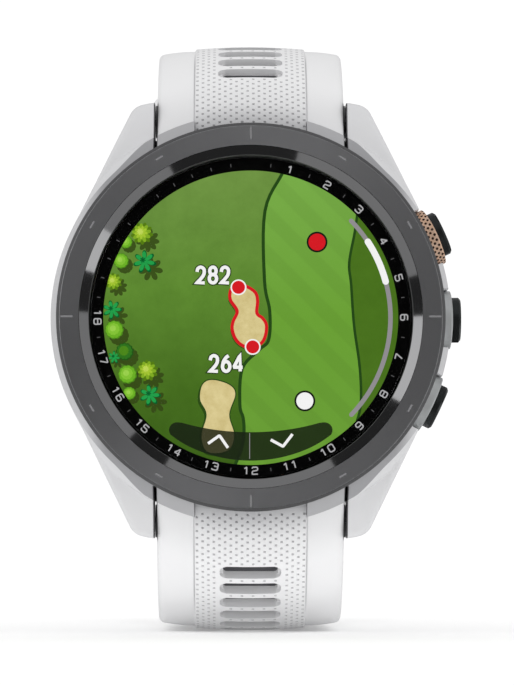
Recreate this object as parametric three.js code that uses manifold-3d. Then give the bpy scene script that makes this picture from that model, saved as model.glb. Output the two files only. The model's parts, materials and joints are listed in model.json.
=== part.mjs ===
// A golf GPS watch with a round case, three side buttons and an unbuckled two-piece strap. Millimetres.
// Everything is drawn in the dial's own frame: x to 3 o'clock, y to 12 o'clock, z out of the dial, with z = 0 on
// the face that rests on the wrist. The last lines turn that frame up, so that 12 o'clock points to +Z and the
// dial looks along -Y.
import * as THREE from "three";
import { mergeVertices } from "three/addons/utils/BufferGeometryUtils.js";
import Module from "manifold-3d";

const wasm = await Module();
wasm.setup();

// ---- Driving dimensions ----
const CASE = { radius: 21.1, floor: 1.9, top: 11.0, boreRadius: 17.8, seatRadius: 18.5, seatZ: 9.2 };
const BEZEL = { radius: 20.48, inner: 17.05, chamferOut: 18.05, top: 12.9, bottom: 11.35 };
const LUG = { gapHalf: 10.2, tipY: 23.4, wallY: 19.3, shelfZ: 4.7 };
const BAND = { radius: 21.85, foot: 9.0, topRadius: 20.5, top: 10.75 };
const BAR = { y: 21.4, z: 4.3, tubeRadius: 0.9, tipRadius: 0.4, halfLength: 9.6 };
const STRAP = { width: 19.95, thick: 2.0, ridgeWidth: 12, ridge: 0.5, boreRadius: 1.05, knuckle: 1.8, frontRadius: 19.6 };
const SLOT = { width: 6, length: 1.9 };
const FLEX = { nose: 1.0, gap: 0.15 };
const BUTTON_Z = 6.0;
const DIAGONAL = 13.7; // how far each back screw lies from the dial's axis along x and along y
const ROUND = 64; // steps round a large visible ring
const INNER = 36; // steps round a hidden ring
const FINE = 16; // steps round a small turned piece
const DEGREE = Math.PI / 180;

// ---- Solids ----
function solid(geometry) {
  const bare = (geometry.index ? geometry.toNonIndexed() : geometry.clone());
  bare.deleteAttribute("normal");
  bare.deleteAttribute("uv");
  const merged = mergeVertices(bare, 1e-4);
  return new wasm.Manifold(new wasm.Mesh({
    numProp: 3,
    vertProperties: merged.attributes.position.array,
    triVerts: new Uint32Array(merged.index.array),
  }));
}

function geometryOf(body) {
  const mesh = body.getMesh();
  const geometry = new THREE.BufferGeometry();
  geometry.setAttribute("position", new THREE.BufferAttribute(new Float32Array(mesh.vertProperties), 3));
  geometry.setIndex(new THREE.BufferAttribute(new Uint32Array(mesh.triVerts), 1));
  const flat = geometry.toNonIndexed();
  flat.computeVertexNormals();
  return flat;
}

function cut(body, ...tools) {
  return tools.reduce((rest, tool) => rest.subtract(tool), body);
}

function join(...bodies) {
  return bodies.reduce((all, body) => all.add(body));
}

function shapeOf(points) {
  return new THREE.Shape(points.map(([a, b]) => new THREE.Vector2(a, b)));
}

// A shape in x and y, from one height to another.
function plate(shape, low, high, steps = 12) {
  const options = { depth: high - low, bevelEnabled: false, curveSegments: steps };
  return solid(new THREE.ExtrudeGeometry(shape, options).translate(0, 0, low));
}

// A shape in y and z, from one x to another.
const ALONG_X = new THREE.Matrix4().set(0, 0, 1, 0, 1, 0, 0, 0, 0, 1, 0, 0, 0, 0, 0, 1);
function prism(points, from, to) {
  const geometry = new THREE.ExtrudeGeometry(shapeOf(points), { depth: to - from, bevelEnabled: false });
  return solid(geometry.translate(0, 0, from).applyMatrix4(ALONG_X));
}

function block(x0, x1, y0, y1, z0, z1) {
  const box = new THREE.BoxGeometry(x1 - x0, y1 - y0, z1 - z0);
  return solid(box.translate((x0 + x1) / 2, (y0 + y1) / 2, (z0 + z1) / 2));
}

// A turned body about z. Its profile is a list of [radius, z] that closes on itself or runs from axis to axis.
function turned(profile, steps = INNER) {
  let area = 0;
  profile.forEach(([r0, z0], i) => {
    const [r1, z1] = profile[(i + 1) % profile.length];
    area += r0 * z1 - r1 * z0;
  });
  const ordered = area < 0 ? [...profile].reverse() : [...profile];
  const axisPoints = ordered.filter(([r]) => r === 0).length;
  if (axisPoints === 0) ordered.push(ordered[0]);
  else while (ordered[0][0] !== 0 || ordered.at(-1)[0] !== 0) ordered.push(ordered.shift());
  const lathe = new THREE.LatheGeometry(ordered.map(([r, z]) => new THREE.Vector2(r, z)), steps);
  return solid(lathe.rotateX(Math.PI / 2));
}

function disc(radius, low, high, steps = INNER) {
  return turned([[0, low], [radius, low], [radius, high], [0, high]], steps);
}

function ring(inner, outer, low, high, steps = INNER) {
  return turned([[inner, low], [outer, low], [outer, high], [inner, high]], steps);
}

function moved(body, matrix) {
  return solid(geometryOf(body).applyMatrix4(matrix));
}

function shifted(body, x, y, z = 0) {
  return moved(body, new THREE.Matrix4().makeTranslation(x, y, z));
}

// A rod along x.
function rod(radius, from, to, y, z, steps = FINE) {
  const turn = new THREE.Matrix4().makeRotationY(Math.PI / 2);
  return shifted(moved(disc(radius, from, to, steps), turn), 0, y, z);
}

// ---- Materials ----
function material(color, roughness, metalness = 0) {
  return new THREE.MeshStandardMaterial({ color, roughness, metalness });
}
const whitePolymer = material(0xe6e6e8, 0.45);
const bezelMetal = material(0x5a5a5d, 0.3, 1);
const blackGlass = material(0x0a0a0c, 0.05);
const blackPrint = material(0x08080a, 0.35);
const displayGreen = material(0x5f8a36, 0.4);
const silicone = material(0xf0f0f0, 0.6);
const keeperSilicone = material(0xececec, 0.6);
const buttonBlack = material(0x17181a, 0.15, 0.6);
const guardBronze = material(0xb9835a, 0.35, 1);
const guardSilver = material(0xa9abaa, 0.35, 1);
const steel = material(0xb8babd, 0.3, 1);
const rubber = material(0x1b1b1c, 0.8);
const darkPolymer = material(0x2a2b2e, 0.55);
const boardGreen = material(0x1d4a33, 0.5);
const shieldTin = material(0xc4c6c8, 0.35, 1);
const foil = material(0x8f9398, 0.4, 0.8);
const amberFilm = material(0xb0702a, 0.45);
const gold = material(0xd8b25a, 0.3, 1);

const watch = new THREE.Group();
function piece(name, body, look, parent = watch) {
  const mesh = new THREE.Mesh(geometryOf(body), look);
  mesh.name = name;
  parent.add(mesh);
}

// ---- Case ----
const lugTop = (y) => -30.2 + Math.sqrt(40 ** 2 - Math.max(0, Math.abs(y) - 8) ** 2);

function lugOutline() {
  const side = [18.94, 9.53]; // where the lug's straight side leaves the round case
  const bend = [13.15, 21.2];
  const shape = new THREE.Shape();
  shape.moveTo(side[0], -side[1]);
  shape.lineTo(side[0], side[1]);
  shape.lineTo(bend[0], bend[1]);
  shape.quadraticCurveTo(12.6, 22.75, LUG.gapHalf, LUG.tipY);
  shape.lineTo(-LUG.gapHalf, LUG.tipY);
  shape.quadraticCurveTo(-12.6, 22.75, -bend[0], bend[1]);
  shape.lineTo(-side[0], side[1]);
  shape.lineTo(-side[0], -side[1]);
  shape.lineTo(-bend[0], -bend[1]);
  shape.quadraticCurveTo(-12.6, -22.75, -LUG.gapHalf, -LUG.tipY);
  shape.lineTo(LUG.gapHalf, -LUG.tipY);
  shape.quadraticCurveTo(12.6, -22.75, bend[0], -bend[1]);
  return shape;
}

// The lugs seen from the side: a shallow arch that rounds over at each tip.
function lugProfile() {
  const half = [[22.0, CASE.floor], [22.9, 2.5], [LUG.tipY, 3.9], [LUG.tipY, 5.9], [23.25, 6.5]];
  for (let y = 23; y > 8; y -= 1.5) half.push([y, lugTop(y)]);
  const mirrored = half.map(([y, z]) => [-y, z]).reverse();
  return [...half, ...mirrored];
}

const bandProfile = [[BAND.radius, BAND.foot], [BAND.topRadius, BAND.top]];
const bandFoot = 6.0;

function strapNotch(side) {
  const low = block(-LUG.gapHalf, LUG.gapHalf, LUG.wallY, 30, -1, LUG.shelfZ + 0.1);
  const round = cut(block(-LUG.gapHalf, LUG.gapHalf, 10, 30, LUG.shelfZ, 15), disc(LUG.wallY, 0, 20, ROUND));
  const both = join(low, round);
  return side > 0 ? both : moved(both, new THREE.Matrix4().makeRotationZ(Math.PI));
}

const screwPlaces = [[1, 1], [-1, 1], [-1, -1], [1, -1]].map(([x, y]) => [x * DIAGONAL, y * DIAGONAL]);

// Radial places: t runs outwards along a button's own axis.
const buttons = [
  { name: "upper", angle: 24.6, face: 22.35, guardFace: 21.6, guardLook: guardBronze },
  { name: "middle", angle: 0, face: 22.2, guardFace: 21.3, guardLook: guardSilver },
  { name: "lower", angle: -25.2, face: 22.15, guardFace: 21.35, guardLook: guardSilver },
];
function radial(angle) {
  const turn = new THREE.Matrix4().makeRotationZ(angle * DEGREE);
  const lay = new THREE.Matrix4().makeRotationY(Math.PI / 2);
  return new THREE.Matrix4().makeTranslation(0, 0, BUTTON_Z).multiply(turn).multiply(lay);
}

function middleCase() {
  const round = turned([
    [0, CASE.floor], [20.4, CASE.floor], [CASE.radius, 2.6], [CASE.radius, 9.97], ...bandProfile.slice(1),
    [20.3, CASE.top], [0, CASE.top],
  ], ROUND);
  const band = turned([
    [0, bandFoot], [BAND.radius, bandFoot], ...bandProfile, [20.3, CASE.top], [0, CASE.top],
  ], ROUND);
  const arch = prism(lugProfile(), -20, 20);
  const outline = plate(lugOutline(), CASE.floor, CASE.top, 5);
  let body = join(round, outline.intersect(join(arch, band)));
  body = cut(
    body, strapNotch(1), strapNotch(-1),
    disc(CASE.boreRadius, -1, CASE.seatZ + 0.1, INNER), disc(CASE.seatRadius, CASE.seatZ, 15, INNER),
    disc(18.55, -1, 2.3, INNER),
    rod(0.5, -11.5, 11.5, BAR.y, BAR.z, 16), rod(0.5, -11.5, 11.5, -BAR.y, BAR.z, 16),
  );
  for (const [x, y] of screwPlaces) body = cut(body, shifted(disc(0.75, -1, 5.3, 12), x, y));
  for (const { angle } of buttons) {
    const bore = turned([[0, 17], [0.85, 17], [0.85, 18.1], [1.35, 18.1], [1.35, 19.2], [3.15, 19.2],
      [3.15, 24], [0, 24]], FINE);
    body = cut(body, moved(bore, radial(angle)));
  }
  return body;
}
piece("middle_case", middleCase(), whitePolymer);

piece("bezel", turned([
  [BEZEL.inner, 9.4], [18.4, 9.4], [18.4, BEZEL.bottom], [20.2, BEZEL.bottom], [BEZEL.radius, 11.63],
  [BEZEL.radius, 12.5], [20.08, BEZEL.top], [BEZEL.chamferOut, BEZEL.top], [BEZEL.inner, 12.4],
], ROUND), bezelMetal);
piece("bezel_gasket", ring(18.6, 19.1, 11.05, 11.3), rubber);
piece("cover_lens", turned([
  [0, 11.2], [16.75, 11.2], [16.9, 11.35], [16.9, 12.2], [16.75, 12.35], [0, 12.35],
], ROUND), blackGlass);
piece("dial_ring", ring(15.56, 16.85, 10.75, 11.1, ROUND), blackPrint);
piece("display_panel", disc(16.3, 9.4, 10.6, ROUND), displayGreen);

// ---- Inside the case ----
function innerFrame() {
  const tray = join(disc(16.4, 8.3, 9.1), ring(15.6, 16.3, 3.3, 8.4));
  return cut(tray, block(-4, 4, -18, -15, 2, 10));
}
piece("inner_frame", innerFrame(), darkPolymer);

// The ribbon runs from under the display, down past the frame, to the main board.
piece("display_flex", prism([
  [-12, 9.2], [-16.4, 9.2], [-16.4, 3.32], [-13, 3.32], [-13, 3.2], [-16.52, 3.2], [-16.52, 9.3], [-12, 9.3],
], -3.5, 3.5), amberFilm);
piece("main_board", disc(16.2, 2.5, 3.1), boardGreen);
piece("board_shield", cut(block(-7, 7, -7, 5, 3.2, 4.2), block(-6.7, 6.7, -6.7, 4.7, 3, 3.9)), shieldTin);

function roundedBlock(halfX, y0, y1, corner) {
  const shape = new THREE.Shape();
  shape.absarc(halfX - corner, y1 - corner, corner, 0, Math.PI / 2);
  shape.absarc(corner - halfX, y1 - corner, corner, Math.PI / 2, Math.PI);
  shape.absarc(corner - halfX, y0 + corner, corner, Math.PI, Math.PI * 1.5);
  shape.absarc(halfX - corner, y0 + corner, corner, Math.PI * 1.5, Math.PI * 2);
  return shape;
}
piece("battery", plate(roundedBlock(11, -10, 7, 1.5), 4.5, 8.0, 4), foil);
piece("vibration_motor", shifted(disc(3.8, 4.5, 7.2, FINE), 0, 11.4), steel);

function antennaStrip() {
  const shape = new THREE.Shape();
  shape.absarc(0, 0, 17.4, 100 * DEGREE, 170 * DEGREE, false);
  shape.absarc(0, 0, 16.6, 170 * DEGREE, 100 * DEGREE, true);
  return plate(shape, 5.2, 8.0, 14);
}
piece("gps_antenna", antennaStrip(), gold);

// ---- Back ----
const PORT = { y: -10.6, halfX: 3.75, halfY: 1.75 };
function backCover() {
  let cover = join(
    disc(19.0, 1.0, 1.85, INNER),
    turned([[0, 0.3], [14.3, 0.3], [14.8, 0.6], [15.6, 1.1], [0, 1.1]], INNER),
  );
  for (const [x, y] of screwPlaces) cover = join(cover, shifted(disc(1.9, 1.0, 1.85, FINE), x, y));
  for (const [x, y] of screwPlaces) cover = cut(cover, shifted(disc(0.8, 0, 3, 12), x, y));
  const { y, halfX, halfY } = PORT;
  return cut(cover, disc(6.65, -1, 0.85), disc(5.6, 0, 3),
    block(-halfX - 0.1, halfX + 0.1, y - halfY - 0.1, y + halfY + 0.1, -1, 3));
}
piece("back_cover", backCover(), darkPolymer);
piece("sensor_window", turned([[0, 0], [6.3, 0], [6.5, 0.2], [6.5, 0.7], [0, 0.7]]), blackGlass);

function lightShield() {
  const windows = [-2.6, 2.6].map((x) => shifted(disc(1.5, 0, 3, FINE), x, 0));
  return cut(disc(5.4, 0.85, 1.75), ...windows);
}
piece("sensor_light_shield", lightShield(), blackPrint);
piece("sensor_board", disc(6.2, 1.95, 2.35), boardGreen);
piece("back_gasket", ring(18.0, 18.45, 1.92, 2.22), rubber);

const contactPlaces = [-2.4, -0.8, 0.8, 2.4];
function chargePort() {
  const { y, halfX, halfY } = PORT;
  const insert = cut(
    block(-halfX, halfX, y - halfY, y + halfY, 0.35, 1.85),
    block(-halfX + 0.4, halfX - 0.4, y - halfY + 0.4, y + halfY - 0.4, 0, 1.1),
  );
  return cut(insert, ...contactPlaces.map((x) => shifted(disc(0.45, 0, 3, 12), x, y)));
}
piece("charge_port", chargePort(), darkPolymer);
contactPlaces.forEach((x, i) => {
  piece("charge_contact_" + (i + 1), shifted(disc(0.38, 0.7, 2.4, 12), x, PORT.y), gold);
});

screwPlaces.forEach(([x, y], i) => {
  const screw = turned([[0, 0.35], [1.1, 0.35], [1.3, 0.5], [1.3, 0.95], [0.65, 0.95], [0.65, 5], [0, 5]], FINE);
  const socket = disc(0.6, 0, 0.7, 6);
  piece("back_screw_" + (i + 1), shifted(cut(screw, socket), x, y), steel);
});

// ---- Buttons ----
for (const { name, angle, face, guardFace, guardLook } of buttons) {
  const place = radial(angle);
  const cap = turned([
    [0, 17.15], [0.7, 17.15], [0.7, 17.25], [0.5, 17.25], [0.5, 17.7], [0.7, 17.7], [0.7, 20.5], [2.4, 20.5],
    [2.4, face - 0.3], [2.15, face - 0.08], [0, face],
  ], FINE * 1.5);
  const guard = turned([
    [2.5, 19.3], [3.1, 19.3], [3.1, guardFace - 0.15], [2.95, guardFace], [2.5, guardFace],
  ], FINE * 1.5);
  piece(name + "_button_cap", moved(cap, place), buttonBlack);
  piece(name + "_button_guard", moved(guard, place), guardLook);
  piece(name + "_button_seal", moved(ring(0.8, 1.25, 18.25, 18.85, 16), place), rubber);
  piece(name + "_button_clip", moved(ring(0.6, 1.5, 17.3, 17.62, 16), place), steel);
  piece(name + "_button_spring", moved(ring(1.0, 1.9, 19.28, 19.72, 16), place), steel);
}

// ---- Strap ----
// Each half follows a row of arcs seen from the side. u is the distance from the dial's axis towards the strap's
// end, w is height towards the dial, and s runs along the outer face. An arc with no radius is a straight run.
function route(start, startAngle, arcs) {
  return (s) => {
    let [u, w] = start;
    let angle = startAngle * DEGREE;
    let left = s;
    arcs.forEach(({ radius, length }, i) => {
      const step = i === arcs.length - 1 ? left : Math.min(left, length);
      if (radius) {
        const next = angle + step / radius;
        u += radius * (Math.sin(next) - Math.sin(angle));
        w += radius * (Math.cos(next) - Math.cos(angle));
        angle = next;
      } else {
        u += step * Math.cos(angle);
        w -= step * Math.sin(angle);
      }
      left -= step;
    });
    return { u, w, angle };
  };
}

function firstPoint(centre, radius, angle) {
  return [centre[0] + radius * Math.sin(angle * DEGREE), centre[1] + radius * Math.cos(angle * DEGREE)];
}
const START_ANGLE = 25;
const upperRadius = 26.5;
const lowerRadius = 31.5;
const halves = [
  {
    name: "upper", side: 1, flexAt: 27.5, length: 79, slotStart: 12.86, slotPitch: 2.65, slotEnd: 46, ridgeEnd: 49,
    at: route(firstPoint([4.85, -13.1], upperRadius, START_ANGLE), START_ANGLE, [
      { radius: upperRadius, length: upperRadius * 45 * DEGREE },
      { radius: 11.5, length: 11.5 * 20 * DEGREE },
      { radius: 90 },
    ]),
  },
  {
    name: "lower", side: -1, flexAt: 30.5, length: 121, slotStart: 12.1, slotPitch: 2.7, slotEnd: 111, ridgeEnd: 115,
    at: route(firstPoint([2.9, -17.77], lowerRadius, START_ANGLE), START_ANGLE, [
      { radius: lowerRadius, length: lowerRadius * 41 * DEGREE },
      { radius: 13, length: 13 * 24 * DEGREE },
      { length: 25 },
      { radius: 110 },
    ]),
  },
];

// The point at s along a half and b out of its outer face, as [y, z].
function strapPoint(half, s, b) {
  const { u, w, angle } = half.at(s);
  return [half.side * (u + b * Math.sin(angle)), w + b * Math.cos(angle)];
}

function run(half, from, to, b) {
  const steps = Math.max(1, Math.round((to - from) / 2.4));
  return Array.from({ length: steps + 1 }, (_, i) => strapPoint(half, from + ((to - from) * i) / steps, b));
}

function strapSlab(half, from, to, low, high, width) {
  const points = [...run(half, from, to, high), ...run(half, from, to, low).reverse()];
  return prism(points, -width / 2, width / 2);
}

function slotTools(half, from, to) {
  const tools = [];
  for (let s = half.slotStart; s < half.slotEnd; s += half.slotPitch) {
    if (s < from || s + SLOT.length > to) continue;
    tools.push(strapSlab(half, s, s + SLOT.length, -STRAP.thick - 1, STRAP.ridge + 1, SLOT.width));
  }
  return tools;
}

function arcPoints(y, z, radius, from, to, steps) {
  return Array.from({ length: steps + 1 }, (_, i) => {
    const angle = (from + ((to - from) * i) / steps) * DEGREE;
    return [y + radius * Math.cos(angle), z + radius * Math.sin(angle)];
  });
}

// The half's end at the case: it fills the space between the lugs up to the bezel and turns on the spring bar.
function strapRoot(half) {
  const end = half.flexAt - FLEX.nose - FLEX.gap;
  const knuckle = arcPoints(BAR.y, BAR.z, STRAP.knuckle, -20, -180, 8);
  const underside = [[STRAP.frontRadius, 5.0], [15.9, 5.0]];
  const profile = [
    ...run(half, 0, end, 0),
    ...run(half, 11, end, -STRAP.thick).reverse(),
    ...[...knuckle, ...underside].map(([u, w]) => [half.side * u, w]),
  ];
  const band = turned([
    [STRAP.frontRadius, bandFoot], [BAND.radius, bandFoot], ...bandProfile, [STRAP.frontRadius, BAND.top],
  ], ROUND);
  const edge = STRAP.width / 2;
  const flank = (x0, x1) => band.intersect(half.side > 0
    ? block(x0, x1, 10, 30, 0, 20) : block(x0, x1, -30, -10, 0, 20));
  let body = join(
    prism(profile, -edge, edge), flank(-edge, -STRAP.ridgeWidth / 2), flank(STRAP.ridgeWidth / 2, edge),
    strapSlab(half, 0, end, -0.3, STRAP.ridge, STRAP.ridgeWidth),
  );
  const barY = half.side * BAR.y;
  body = cut(
    body, disc(STRAP.frontRadius, -5, 20, ROUND), rod(STRAP.boreRadius, -11, 11, barY, BAR.z),
    block(4.0, 7.0, barY - 1, barY + 1, 1, BAR.z), ...slotTools(half, 0, end - 0.4),
  );
  return body;
}

// The rest of the half, from a round nose that the bend between the two stretches turns on.
function strapTail(half, extra = []) {
  const { u, w, angle } = half.at(half.flexAt);
  const centre = [u - FLEX.nose * Math.sin(angle), w - FLEX.nose * Math.cos(angle)];
  const nose = arcPoints(centre[0], centre[1], FLEX.nose, 270 - angle / DEGREE, 90 - angle / DEGREE, 8);
  const profile = [
    ...nose.map(([a, b]) => [half.side * a, b]),
    ...run(half, half.flexAt, half.length, 0).slice(1),
    ...run(half, half.flexAt, half.length, -STRAP.thick).slice(1).reverse(),
  ];
  const from = half.flexAt + 0.7;
  return cut(
    join(
      prism(profile, -STRAP.width / 2, STRAP.width / 2), ...extra,
      strapSlab(half, from, half.ridgeEnd, -0.3, STRAP.ridge, STRAP.ridgeWidth),
    ),
    ...slotTools(half, half.flexAt + 1.5, half.length),
  );
}

// A frame that sits on the half at s: X across the strap, Y along it and Z out of its outer face.
function seat(half, s, b) {
  const [y, z] = strapPoint(half, s, b);
  const { angle } = half.at(s);
  const across = new THREE.Vector3(half.side, 0, 0);
  const along = new THREE.Vector3(0, half.side * Math.cos(angle), -Math.sin(angle));
  const out = new THREE.Vector3(0, half.side * Math.sin(angle), Math.cos(angle));
  return new THREE.Matrix4().makeBasis(across, along, out).setPosition(0, y, z);
}

const [upper, lower] = halves;
const END_B = -STRAP.thick / 2;

function roundedTip(half) {
  const shape = new THREE.Shape();
  const edge = STRAP.width / 2;
  shape.moveTo(-edge, -150);
  shape.lineTo(edge, -150);
  shape.lineTo(edge, -edge);
  shape.absellipse(0, -edge, edge, edge, 0, Math.PI, false, 0);
  return moved(plate(shape, -60, 60, 16), seat(half, half.length, 0));
}

// The buckle's bar runs through a rolled end, which is open in the middle for the tongue.
function buckleEnd(half) {
  const [y, z] = strapPoint(half, half.length, END_B);
  return rod(1.9, -STRAP.width / 2, STRAP.width / 2, y, z);
}

piece("upper_strap_root", strapRoot(upper), silicone);
piece("lower_strap_root", strapRoot(lower), silicone);
function upperTail() {
  const [y, z] = strapPoint(upper, upper.length, END_B);
  const place = seat(upper, upper.length, END_B);
  return cut(
    strapTail(upper, [buckleEnd(upper)]), rod(0.95, -11, 11, y, z),
    moved(block(-3.1, 3.1, -3.2, 4, -4, 4), place),
  );
}
piece("upper_strap_tail", upperTail(), silicone);
piece("lower_strap_tail", strapTail(lower).intersect(roundedTip(lower)), silicone);

// ---- Buckle and keepers ----
const buckle = new THREE.Group();
seat(upper, upper.length, END_B).decompose(buckle.position, buckle.quaternion, buckle.scale);
watch.add(buckle);

const FRAME = { inner: 10.35, outer: 12.25, back: -1.9, front: 9.6, bar: 2.2, half: 1.0 };
function buckleFrame() {
  const { inner, outer, back, front, bar, half } = FRAME;
  const arm = (x0, x1) => block(x0, x1, back + 0.4, front, -half, half);
  return cut(
    join(arm(-outer, -inner), arm(inner, outer), block(-outer, outer, front - bar, front, -half, half)),
    rod(0.9, -outer - 1, outer + 1, 0, 0),
  );
}
piece("buckle_frame", buckleFrame(), steel, buckle);
piece("buckle_bar", rod(0.8, -FRAME.outer + 0.1, FRAME.outer - 0.1, 0, 0), steel, buckle);

// The tongue wraps the bar and lies on the frame's front edge.
function buckleTongue() {
  const halfWidth = 2.6;
  const shank = prism([
    [1.2, 0.5], [1.2, 1.75], [7.0, 2.05], [8.6, 2.1], [9.3, 1.8], [9.3, 1.15], [6.5, 1.15],
  ], -halfWidth, halfWidth);
  return cut(join(rod(1.7, -halfWidth, halfWidth, 0, 0), shank), rod(0.9, -11, 11, 0, 0));
}
piece("buckle_tongue", buckleTongue(), steel, buckle);

// A keeper is a band round the strap with room outside it for the other half's end.
function keeper(s, length) {
  const inner = { halfX: 10.2, low: -2.25, high: 3.2 };
  const wall = 1.2;
  const outerShape = roundedBlock(inner.halfX + wall, inner.low - wall, inner.high + wall, 1.6);
  outerShape.holes.push(roundedBlock(inner.halfX, inner.low, inner.high, 0.6));
  const lay = new THREE.Matrix4().makeRotationX(Math.PI / 2);
  return moved(moved(plate(outerShape, -length / 2, length / 2, 4), lay), seat(upper, s, 0));
}
piece("free_keeper", keeper(58, 4.5), keeperSilicone);
piece("fixed_keeper", keeper(69, 4.5), keeperSilicone);

// ---- Spring bars ----
for (const { name, side } of halves) {
  const y = side * BAR.y;
  const tube = join(rod(BAR.tubeRadius, -BAR.halfLength, BAR.halfLength, y, BAR.z),
    rod(BAR.tipRadius, -11.2, -9.5, y, BAR.z, 16));
  const slot = block(4.1, 6.9, y - 0.4, y + 0.4, BAR.z - 2, BAR.z);
  piece(name + "_bar_tube", cut(tube, rod(0.65, 0.5, 11, y, BAR.z), slot), steel);
  piece(name + "_bar_pin", join(rod(0.55, 5.4, 9.4, y, BAR.z, 16), rod(BAR.tipRadius, 9.3, 11.2, y, BAR.z, 16)), steel);
  piece(name + "_bar_release", block(5.6, 6.6, y - 0.3, y + 0.3, BAR.z - 1.75, BAR.z - 0.6), steel);
  piece(name + "_bar_spring", rod(0.5, 0.8, 3.9, y, BAR.z, 12), steel);
}

watch.rotation.x = Math.PI / 2;
export default watch;
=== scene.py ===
"""A golf GPS watch: the fine surfaces, materials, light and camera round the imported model.

Shapes are drawn in the dial's own frame, in millimetres: x to 3 o'clock, y to 12 o'clock, z out of the dial,
with z = 0 on the face that rests on the wrist. place() turns that frame into the row frame, in metres.
"""
import json
import math

import bpy
import numpy as np
from mathutils import Matrix, Vector


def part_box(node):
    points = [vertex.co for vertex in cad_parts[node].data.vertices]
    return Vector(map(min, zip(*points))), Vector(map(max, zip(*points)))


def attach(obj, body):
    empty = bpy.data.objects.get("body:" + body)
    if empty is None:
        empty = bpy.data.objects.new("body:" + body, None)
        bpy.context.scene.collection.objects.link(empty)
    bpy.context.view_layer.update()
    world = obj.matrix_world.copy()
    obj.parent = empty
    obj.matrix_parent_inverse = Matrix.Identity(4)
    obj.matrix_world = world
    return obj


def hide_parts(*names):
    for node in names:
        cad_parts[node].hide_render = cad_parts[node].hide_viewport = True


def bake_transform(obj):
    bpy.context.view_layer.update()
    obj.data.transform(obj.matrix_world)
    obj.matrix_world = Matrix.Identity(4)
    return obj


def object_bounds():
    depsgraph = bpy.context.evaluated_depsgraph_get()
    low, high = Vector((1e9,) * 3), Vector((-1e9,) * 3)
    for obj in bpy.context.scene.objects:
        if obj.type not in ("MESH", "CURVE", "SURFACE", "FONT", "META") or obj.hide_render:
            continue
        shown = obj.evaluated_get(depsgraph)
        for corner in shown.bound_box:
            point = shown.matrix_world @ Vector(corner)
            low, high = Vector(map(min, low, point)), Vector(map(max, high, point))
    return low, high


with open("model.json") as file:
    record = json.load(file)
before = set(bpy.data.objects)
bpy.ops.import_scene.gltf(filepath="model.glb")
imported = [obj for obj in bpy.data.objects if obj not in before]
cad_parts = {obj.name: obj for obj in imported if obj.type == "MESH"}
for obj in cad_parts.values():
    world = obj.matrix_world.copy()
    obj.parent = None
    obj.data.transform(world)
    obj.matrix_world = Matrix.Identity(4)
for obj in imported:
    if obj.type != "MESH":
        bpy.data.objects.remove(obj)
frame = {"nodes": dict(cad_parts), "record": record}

MM = 0.001
cad_low, cad_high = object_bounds()
rng = np.random.default_rng(7)


# ---- Frames ----
def place(points):
    """Points of the dial's frame, in millimetres, as points of the row frame, in metres."""
    points = np.asarray(points, float).reshape(-1, 3)
    return np.stack([points[:, 0], -points[:, 2], points[:, 1]], 1) * MM


def spot(x, y, z):
    return Vector(place([[x, y, z]])[0])


def dial_box(node):
    """A CAD node's lowest and highest corners in the dial's frame."""
    low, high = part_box(node)
    return (np.array([low.x, low.z, -high.y]) / MM, np.array([high.x, high.z, -low.y]) / MM)


def srgb(red, green, blue):
    """A display colour of 0 to 255 as a linear colour."""
    def linear(v):
        v = v / 255
        return v / 12.92 if v <= 0.04045 else ((v + 0.055) / 1.055) ** 2.4
    return (linear(red), linear(green), linear(blue), 1.0)


# ---- Driving dimensions: some read from the imported model, the rest given ----
BEZEL_TOP = dial_box("bezel")[1][2]
BEZEL_OUTER = dial_box("bezel")[1][0]
BEZEL_INNER = 17.05
CHAMFER_OUTER = 18.05
LENS_LOW, LENS_TOP = dial_box("cover_lens")[0][2], dial_box("cover_lens")[1][2]
LENS_RADIUS = dial_box("cover_lens")[1][0]
RING_LOW, RING_TOP = dial_box("dial_ring")[0][2], dial_box("dial_ring")[1][2]
RING_OUTER = dial_box("dial_ring")[1][0]
RING_INNER = 15.56
PANEL_TOP = dial_box("display_panel")[1][2]
CASE_TOP = dial_box("middle_case")[1][2]
CASE_FLOOR = dial_box("middle_case")[0][2]
CASE_RADIUS = 21.1
CASE_BORE, CASE_SEAT, CASE_SEAT_Z = 17.8, 18.5, 9.2
LUG_GAP, LUG_WALL, LUG_SHELF = 10.2, 19.3, 4.7
LUG_TIP = dial_box("middle_case")[1][1]
BAND_RADIUS, BAND_FOOT, BAND_TOP_RADIUS, BAND_TOP = 21.85, 9.0, 20.5, 10.75
BAR_Y, BAR_Z = 21.4, 4.3
BUTTON_Z = 6.0
SCREW_AT = 13.7
STRAP_HALF, STRAP_THICK = 9.975, 2.0
RIDGE_HALF, RIDGE_HEIGHT, RIDGE_CROWN, FLANK_CROWN = 5.95, 0.5, 0.26, 0.42
SLOT_WIDTH, SLOT_LENGTH = 5.9, 1.9
BORE_RADIUS = 1.05
FRONT_RADIUS = 19.6


# ---- Mesh making ----
def signed_volume(points, faces):
    total = 0.0
    for face in faces:
        a = points[face[0]]
        for i in range(1, len(face) - 1):
            b, c = points[face[i]], points[face[i + 1]]
            total += (a[0] * (b[1] * c[2] - b[2] * c[1]) - a[1] * (b[0] * c[2] - b[2] * c[0])
                      + a[2] * (b[0] * c[1] - b[1] * c[0]))
    return total / 6


def closed(points, faces, zones=None):
    """A closed body as (points, faces, zone of each face), turned so that its faces look out."""
    points = [tuple(map(float, p)) for p in points]
    faces = [list(map(int, f)) for f in faces]
    if signed_volume(points, faces) < 0:
        faces = [f[::-1] for f in faces]
    return points, faces, list(zones) if zones is not None else [0] * len(faces)


def together(bodies):
    """Several bodies as one list of points, faces and zones."""
    points, faces, zones = [], [], []
    for more_points, more_faces, more_zones in bodies:
        faces += [[i + len(points) for i in f] for f in more_faces]
        points += more_points
        zones += more_zones
    return points, faces, zones


def zoned(body, zone):
    return body[0], body[1], [zone] * len(body[1])


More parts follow.
